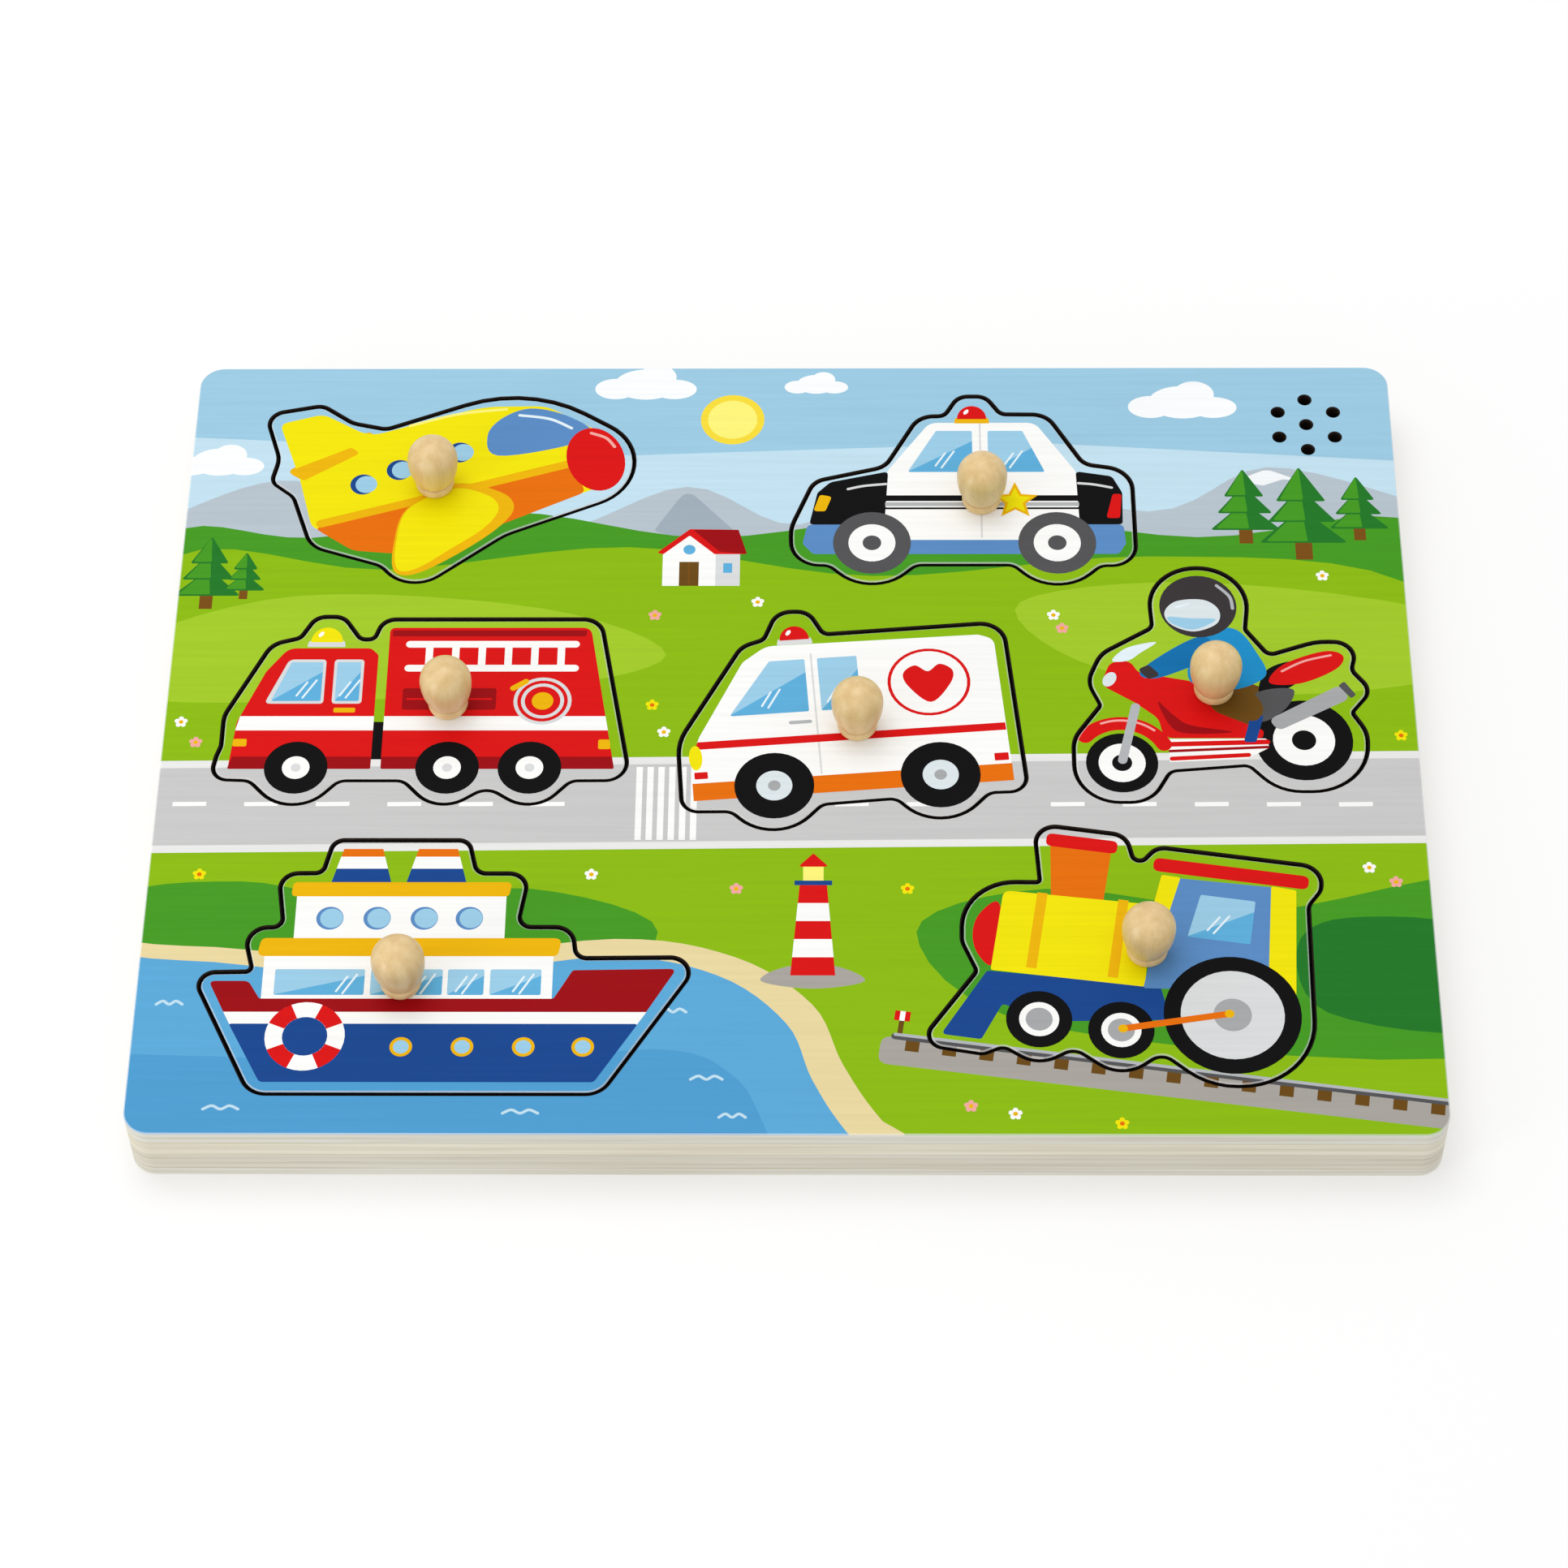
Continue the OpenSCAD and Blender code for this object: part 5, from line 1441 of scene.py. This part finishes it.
def screws(name, node, body, bevel, shank, pitch):
    """Wood screws where a node's solids are, with the node's head size and length."""
    boxes = clusters(node)
    size = boxes[0][1] - boxes[0][0]
    points = [Vector(((a.x + b.x) / 2, (a.y + b.y) / 2, a.z)) * MM for a, b in boxes]
    piece = grow(name, SCREW, SCREW_SHARP, points, Head=size.x, Bevel=bevel, Shank=shank, Length=size.z,
                 Pitch=pitch, Finish=STEEL)
    hand_over(piece, body, "plated_steel", node)


screws("back_panel_wood_screws", "back_panel_screws", "board", bevel=1.6, shank=2.6, pitch=1.1)
screws("battery_box_wood_screws", "battery_box_screws", "board", bevel=1.1, shank=2.0, pitch=0.9)
screws("door_captive_screw", "door_screw", "door_screw", bevel=1.0, shank=2.0, pitch=0.6)
for name in vehicles:
    screws(f"knob_screw_{name}", f"{name}_knob_screw", name, bevel=1.4, shank=2.4, pitch=1.0)

# %% [markdown]
# ## Contact springs
# A small coil spring presses on the flat end of each cell.
# A coil is a rule too: a spiral swept with a round wire, turned to lie along the cell.

# %% Springs

WIRE, TURNS = 0.7, 4.5
COIL_STEPS, WIRE_SIDES, SPRING_SHARP = 28, 10, 40


def spring_tree():
    tree, sizes = new_tree("coil spring", Radius="Float", Wire="Float", Travel="Float", Turns="Float",
                           Finish="Material")
    climb = {"Rotations": sizes["Turns"], "Start Radius": sizes["Radius"], "End Radius": sizes["Radius"],
             "Height": sizes["Travel"]}
    spiral = add(tree, "GeometryNodeCurveSpiral", {"Resolution": COIL_STEPS, **climb})
    wire = add(tree, "GeometryNodeCurvePrimitiveCircle", {"Resolution": WIRE_SIDES, "Radius": sizes["Wire"]})
    coil = add(tree, "GeometryNodeCurveToMesh", {"Curve": spiral, "Profile Curve": wire, "Fill Caps": True})
    along_y = add(tree, "GeometryNodeTransform", {"Geometry": coil, "Rotation": (-math.pi / 2, 0, 0)})
    copies = add(tree, "GeometryNodeInstanceOnPoints", {"Points": sizes["Geometry"], "Instance": along_y})
    return end_tree(tree, copies, sizes["Finish"])


spring_boxes = clusters("contact_springs")
spring_size = spring_boxes[0][1] - spring_boxes[0][0]
starts = [Vector(((a.x + b.x) / 2, a.y + WIRE / 2, (a.z + b.z) / 2)) * MM for a, b in spring_boxes]
coil_radius = (spring_size.x - WIRE) / 2
springs = grow("coil_contact_springs", spring_tree(), SPRING_SHARP, starts, Radius=coil_radius * MM,
               Wire=WIRE / 2 * MM, Travel=(spring_size.y - WIRE) * MM, Turns=TURNS, Finish=STEEL)
hand_over(springs, "board", "plated_steel", "contact_springs")

# %% [markdown]
# ## Finishes of the parts behind the board
# These parts keep their CAD shapes, which are already right, and get the finish of their real material.
# Each could have a tree of its own. Most are moulded or coated, so they share the recipe of specks, and
# differ in tone, shine and relief.

# %% Moulded and coated finishes

finishes = {
    # ABS from an etched mould: off-white, satin, with a fine leathery grain
    "white_plastic": speckled("moulded white ABS", "#E6E5DF", "#F1F0EB", speck=0.5, rough=0.44, relief=0.02),
    # ABS with carbon black: the same grain, almost black
    "black_plastic": speckled("moulded black ABS", "#17171A", "#232327", speck=0.5, rough=0.42, relief=0.02),
    # Epoxy moulding compound: dark grey and matt
    "black_resin": speckled("moulded epoxy", "#1B1A1C", "#29282B", speck=0.3, rough=0.5, relief=0.01),
    # PVC jacket: smooth, grey, a little oily
    "lead_jacket": speckled("extruded PVC", "#C9C8C2", "#D6D5CF", speck=2.5, rough=0.38),
    # Open-cell polyurethane: dark, full of pores, no shine
    "foam": speckled("open-cell foam", "#1E1E20", "#3C3C3F", speck=0.35, rough=0.9, relief=0.15, shine=0.1),
    # Pressed PET film: amber-grey and glossy
    "speaker_film": speckled("pressed PET film", "#3A3833", "#4A473F", speck=1.8, rough=0.25, relief=0.01),
    # Sintered ferrite: charcoal, dry and grainy
    "ferrite": speckled("sintered ferrite", "#2A2B2D", "#3B3C3E", speck=0.25, rough=0.7, relief=0.03,
                        shine=0.3),
    "plated_steel": STEEL,
    "bare_plywood": PLYWOOD,
}
print(len(finishes), "finishes")

# %% [markdown]
# ## Photocells, circuit board and cells
# A photocell shows a red-brown track that winds over a pale ceramic disc, under clear resin.
# The circuit board is glass-epoxy under green solder mask, with the copper tracks as slightly paler lines.
# A cell has a pale printed sleeve with two coloured bands, and bare steel at both ends.
# All three could be modelled line by line. They lie deep inside, so stripes, bricks and a ramp are enough.

# %% Photocell and circuit board

# Wave length of the photocell's track and pitch of the copper tracks, in millimetres
TRACK_WAVE, TRACK_PITCH = 12.0, 4.5


def photocell():
    material, tree, shader = new_material("photocell under clear resin")
    place = add(tree, "ShaderNodeTexCoord").outputs["Object"]
    winding = {"Vector": place, "Scale": per_mm(TRACK_WAVE), "Distortion": 0.6}
    track = add(tree, "ShaderNodeTexWave", winding, bands_direction="Y").outputs["Fac"]
    tone = add(tree, RAMP, {"Fac": track}, [(0.42, "#E7D3B0"), (0.58, "#B4532E")])
    feed(shader, {"Base Color": tone, "Roughness": 0.22, "Coat Weight": 0.6})
    return material


def solder_mask():
    material, tree, shader = new_material("green solder mask on glass-epoxy")
    place = add(tree, "ShaderNodeTexCoord").outputs["Object"]
    greens = {"Color1": linear("#17562F"), "Color2": linear("#1B5F35"), "Mortar": linear("#2F8550")}
    grid = {"Vector": place, "Scale": per_mm(TRACK_PITCH), "Mortar Size": 0.05}
    tracks = add(tree, "ShaderNodeTexBrick", {**greens, **grid}, squash=2.0)
    relief = add(tree, BUMP, {"Height": tracks.outputs["Fac"], "Distance": 0.03 * MM})
    feed(shader, {"Base Color": tracks, "Normal": relief, "Roughness": 0.35})
    return material


finishes["sensor_resin"] = photocell()
finishes["circuit_laminate"] = solder_mask()
print("materials:", finishes["sensor_resin"].name, "and", finishes["circuit_laminate"].name)

# %% Cells

# Bare ends and coloured bands as shares of a cell's length
SLEEVE_INSET = 0.025
BANDS = ((0.14, 0.2, "#3E8F86"), (0.66, 0.82, "#3E8F86"))
SLEEVE_INK, BARE_CAN = "#DEE0DC", "#C4C6C8"


def cell_sleeve(flat_end, button_end):
    """The sleeve of a cell that lies along Y: two bands on a pale ground, and the bare can at both ends."""
    material, tree, shader = new_material("printed cell sleeve")
    place = add(tree, SPLIT, {0: add(tree, "ShaderNodeTexCoord").outputs["Object"]}).outputs["Y"]
    share = add(tree, RANGE, {"Value": place, "From Min": flat_end * MM, "From Max": button_end * MM})
    inks = [(0.0, BARE_CAN), (SLEEVE_INSET, SLEEVE_INK)]
    for start, end, ink in BANDS:
        inks += [(start, ink), (end, SLEEVE_INK)]
    inks.append((1 - 2 * SLEEVE_INSET, BARE_CAN))
    sleeve = add(tree, RAMP, {"Fac": share}, inks)
    sleeve.color_ramp.interpolation = "CONSTANT"
    scuffs = grain(tree, along=6, across=0.4, axes="Y")
    worn = add(tree, RAMP, {"Fac": scuffs}, [(0.4, "#F2F2F2"), (0.6, "#FFFFFF")])
    tone = add(tree, MIX, {SHARE: 1.0, UNDER: sleeve, OVER: worn}, **MULTIPLIED)
    feed(shader, {"Base Color": tone, "Metallic": 0.3, "Roughness": 0.3})
    return material


left_low, left_high = box_mm("left_cell")
right_low, right_high = box_mm("right_cell")
cells = {
    "left_cell": cell_sleeve(left_low.y, left_high.y),
    "right_cell": cell_sleeve(right_high.y, right_low.y),
}
print("cells:", ", ".join(cells))

# %% Dress the CAD nodes

dressed = []
for name, node in nodes.items():
    slot = node.material_slots[0]
    finish = cells.get(name) or finishes.get(slot.name.split(".")[0])
    if finish:
        slot.material = finish
        dressed.append(name)
print("dressed", len(dressed), "nodes")

# %% [markdown]
# ## Eased edges
# Plywood is sanded and a moulded part has small radii, so no real edge is as sharp as a knife.
# A Bevel modifier would trip over the frame's loose triangles. So a copy of the mesh is merged into one skin,
# its outer edges are bevelled, and the copy stands for the node.
# The light then runs along each edge, which tells the eye how large the part is.

# %% Eased copies

# Angles in radians from which an edge is eased, and under which two faces count as one
SHARP_FROM, FLAT_UNDER = math.radians(60), math.radians(1)
BEVEL_STEPS, EASED_SHARP = 2, 50
# Each copy's name, its CAD node, its body and slot, and the width of its eased edges in millimetres
EASED = (
    ("sanded_back_panel", "back_panel", "board", "bare_plywood", 0.4),
    ("moulded_battery_box", "battery_box", "board", "white_plastic", 0.3),
    ("moulded_battery_door", "battery_door", "battery_door", "white_plastic", 0.3),
    ("moulded_switch_slider", "switch_slider", "switch_slider", "black_plastic", 0.2),
    ("rolled_left_cell", "left_cell", "board", "cell_sleeve", 0.5),
    ("rolled_right_cell", "right_cell", "board", "cell_sleeve", 0.5),
)


def eased(name, node, width):
    """A copy of a CAD node with its outer edges rounded off by so many millimetres."""
    work = merged(node)
    bmesh.ops.dissolve_limit(work, angle_limit=FLAT_UNDER, verts=work.verts, edges=work.edges)
    outer = [edge for edge in work.edges if edge.is_manifold and edge.calc_face_angle_signed() > SHARP_FROM]
    bmesh.ops.bevel(work, geom=outer, offset=width * MM, segments=BEVEL_STEPS, profile=0.5, affect="EDGES",
                    clamp_overlap=True)
    mesh = bpy.data.meshes.new(name)
    work.to_mesh(mesh)
    work.free()
    mesh.materials.append(nodes[node].material_slots[0].material)
    return put(name, shaded(mesh, EASED_SHARP))


for name, node, body, slot, width in EASED:
    hand_over(eased(name, node, width), body, slot, node)

# %% [markdown]
# ## Stage, light and camera
# The floor is white paper that keeps a soft shadow near the object and goes over into plain white around it.
# A white world alone would do, but without a shadow the board would seem to float.
# The paper is one-sided: from below it is clear and lets the light pass, so that the underside with its
# battery door can be seen too.
# The light is plain: a bright sky, one broad lamp above, and a small low one at the left for the edges.
# The camera looks from the front at the angle of a catalogue picture.

# %% Stage

FLOOR_HALF = 3.0
FLOOR_DROP = 0.1
FLOOR_GLOW = 0.3
# Distances from the object, in metres, between which the shadow's paper goes over into plain white
GLOW_FROM, GLOW_TO = 0.2, 0.5


def seen_directly(tree):
    """One for what the camera sees, also in a mirror or through glass, and nought for light on the object."""
    path = add(tree, "ShaderNodeLightPath").outputs
    seen = path["Is Camera Ray"]
    for ray in ("Is Glossy Ray", "Is Transmission Ray"):
        seen = add(tree, MATH, {0: seen, 1: path[ray]}, operation="MAXIMUM")
    return seen


def white_paper():
    material, tree, shader = new_material("white paper floor")
    feed(shader, {"Base Color": linear("#FDFDFD"), "Roughness": 0.9})
    place = add(tree, "ShaderNodeTexCoord").outputs["Object"]
    away = add(tree, "ShaderNodeVectorMath", {0: place}, operation="LENGTH").outputs["Value"]
    reach = {"From Min": GLOW_FROM, "From Max": GLOW_TO, "To Min": FLOOR_GLOW, "To Max": 1.0}
    glow = add(tree, RANGE, {"Value": away, **reach})
    share = add(tree, MATH, {0: seen_directly(tree), 1: glow}, operation="MULTIPLY")
    white = add(tree, "ShaderNodeEmission", {"Color": (1, 1, 1, 1), "Strength": 1.0})
    mixed = add(tree, "ShaderNodeMixShader", {0: share, 1: shader, 2: white})
    clear = add(tree, "ShaderNodeBsdfTransparent")
    behind = add(tree, "ShaderNodeNewGeometry").outputs["Backfacing"]
    one_sided = add(tree, "ShaderNodeMixShader", {0: behind, 1: mixed, 2: clear})
    feed(tree.nodes["Material Output"], {"Surface": one_sided})
    return material


corners = block(-FLOOR_HALF, -FLOOR_HALF, FLOOR_HALF, FLOOR_HALF)
paper = bpy.data.meshes.new("floor")
paper.from_pydata([(x, y, -FLOOR_DROP * MM) for x, y in corners], [], [range(len(corners))])
paper.materials.append(white_paper())
floor = put("floor", paper)
floor.visible_shadow = False
floor.visible_diffuse = False
print(f"floor: {2 * FLOOR_HALF:.0f} m wide")

# %% Sky and lamps

AMBIENT = 0.78


def sky():
    world = bpy.data.worlds.new("studio")
    bpy.context.scene.world = world
    world.use_nodes = True
    tree = world.node_tree
    strength = add(tree, RANGE, {"Value": seen_directly(tree), "To Min": AMBIENT, "To Max": 1.0})
    feed(tree.nodes["Background"], {"Color": (1, 1, 1, 1), "Strength": strength})


def lamp(name, place, size, watts):
    """A square lamp that looks at the object's foot."""
    data = bpy.data.lights.new(name, "AREA")
    data.size = size
    data.energy = watts
    item = put(name, data)
    item.location = place
    item.rotation_mode = "QUATERNION"
    item.rotation_quaternion = (-Vector(place)).to_track_quat("-Z", "Y")
    item.visible_camera = False
    print(f"{name}: {watts} W, {size} m wide")


sky()
lamp("broad lamp", (-0.2, 0.3, 1.3), size=0.9, watts=5.0)
lamp("side lamp", (-0.7, -0.5, 0.17), size=0.28, watts=1.3)

# %% Camera

# Angles in degrees, distances in millimetres from the middle of the board's top, and the picture in pixels
ELEVATION, YAW, ROLL = 55.044, 1.552, -1.266
DISTANCE, SHIFT_RIGHT, SHIFT_UP = 1099.1, -1.247, -13.244
FRAME_PX, FOCAL_PX, SENSOR = 1932, 5659.8, 36.0


def camera():
    data = bpy.data.cameras.new("camera")
    data.sensor_width = SENSOR
    data.lens = SENSOR * FOCAL_PX / FRAME_PX
    item = put("camera", data)
    turns = ((YAW, "Z"), (90 - ELEVATION, "X"), (ROLL, "Z"))
    yaw, tilt, roll = (Matrix.Rotation(math.radians(angle), 4, axis) for angle, axis in turns)
    turn = yaw @ tilt @ roll
    place = Vector((0, 0, TOP)) + turn @ Vector((SHIFT_RIGHT, SHIFT_UP, DISTANCE))
    item.matrix_world = Matrix.Translation(place * MM) @ turn
    bpy.context.scene.camera = item
    print(f"camera: lens of {data.lens:.1f} mm, {DISTANCE:.0f} mm from the board")


camera()
bpy.context.scene.view_settings.view_transform = "Standard"
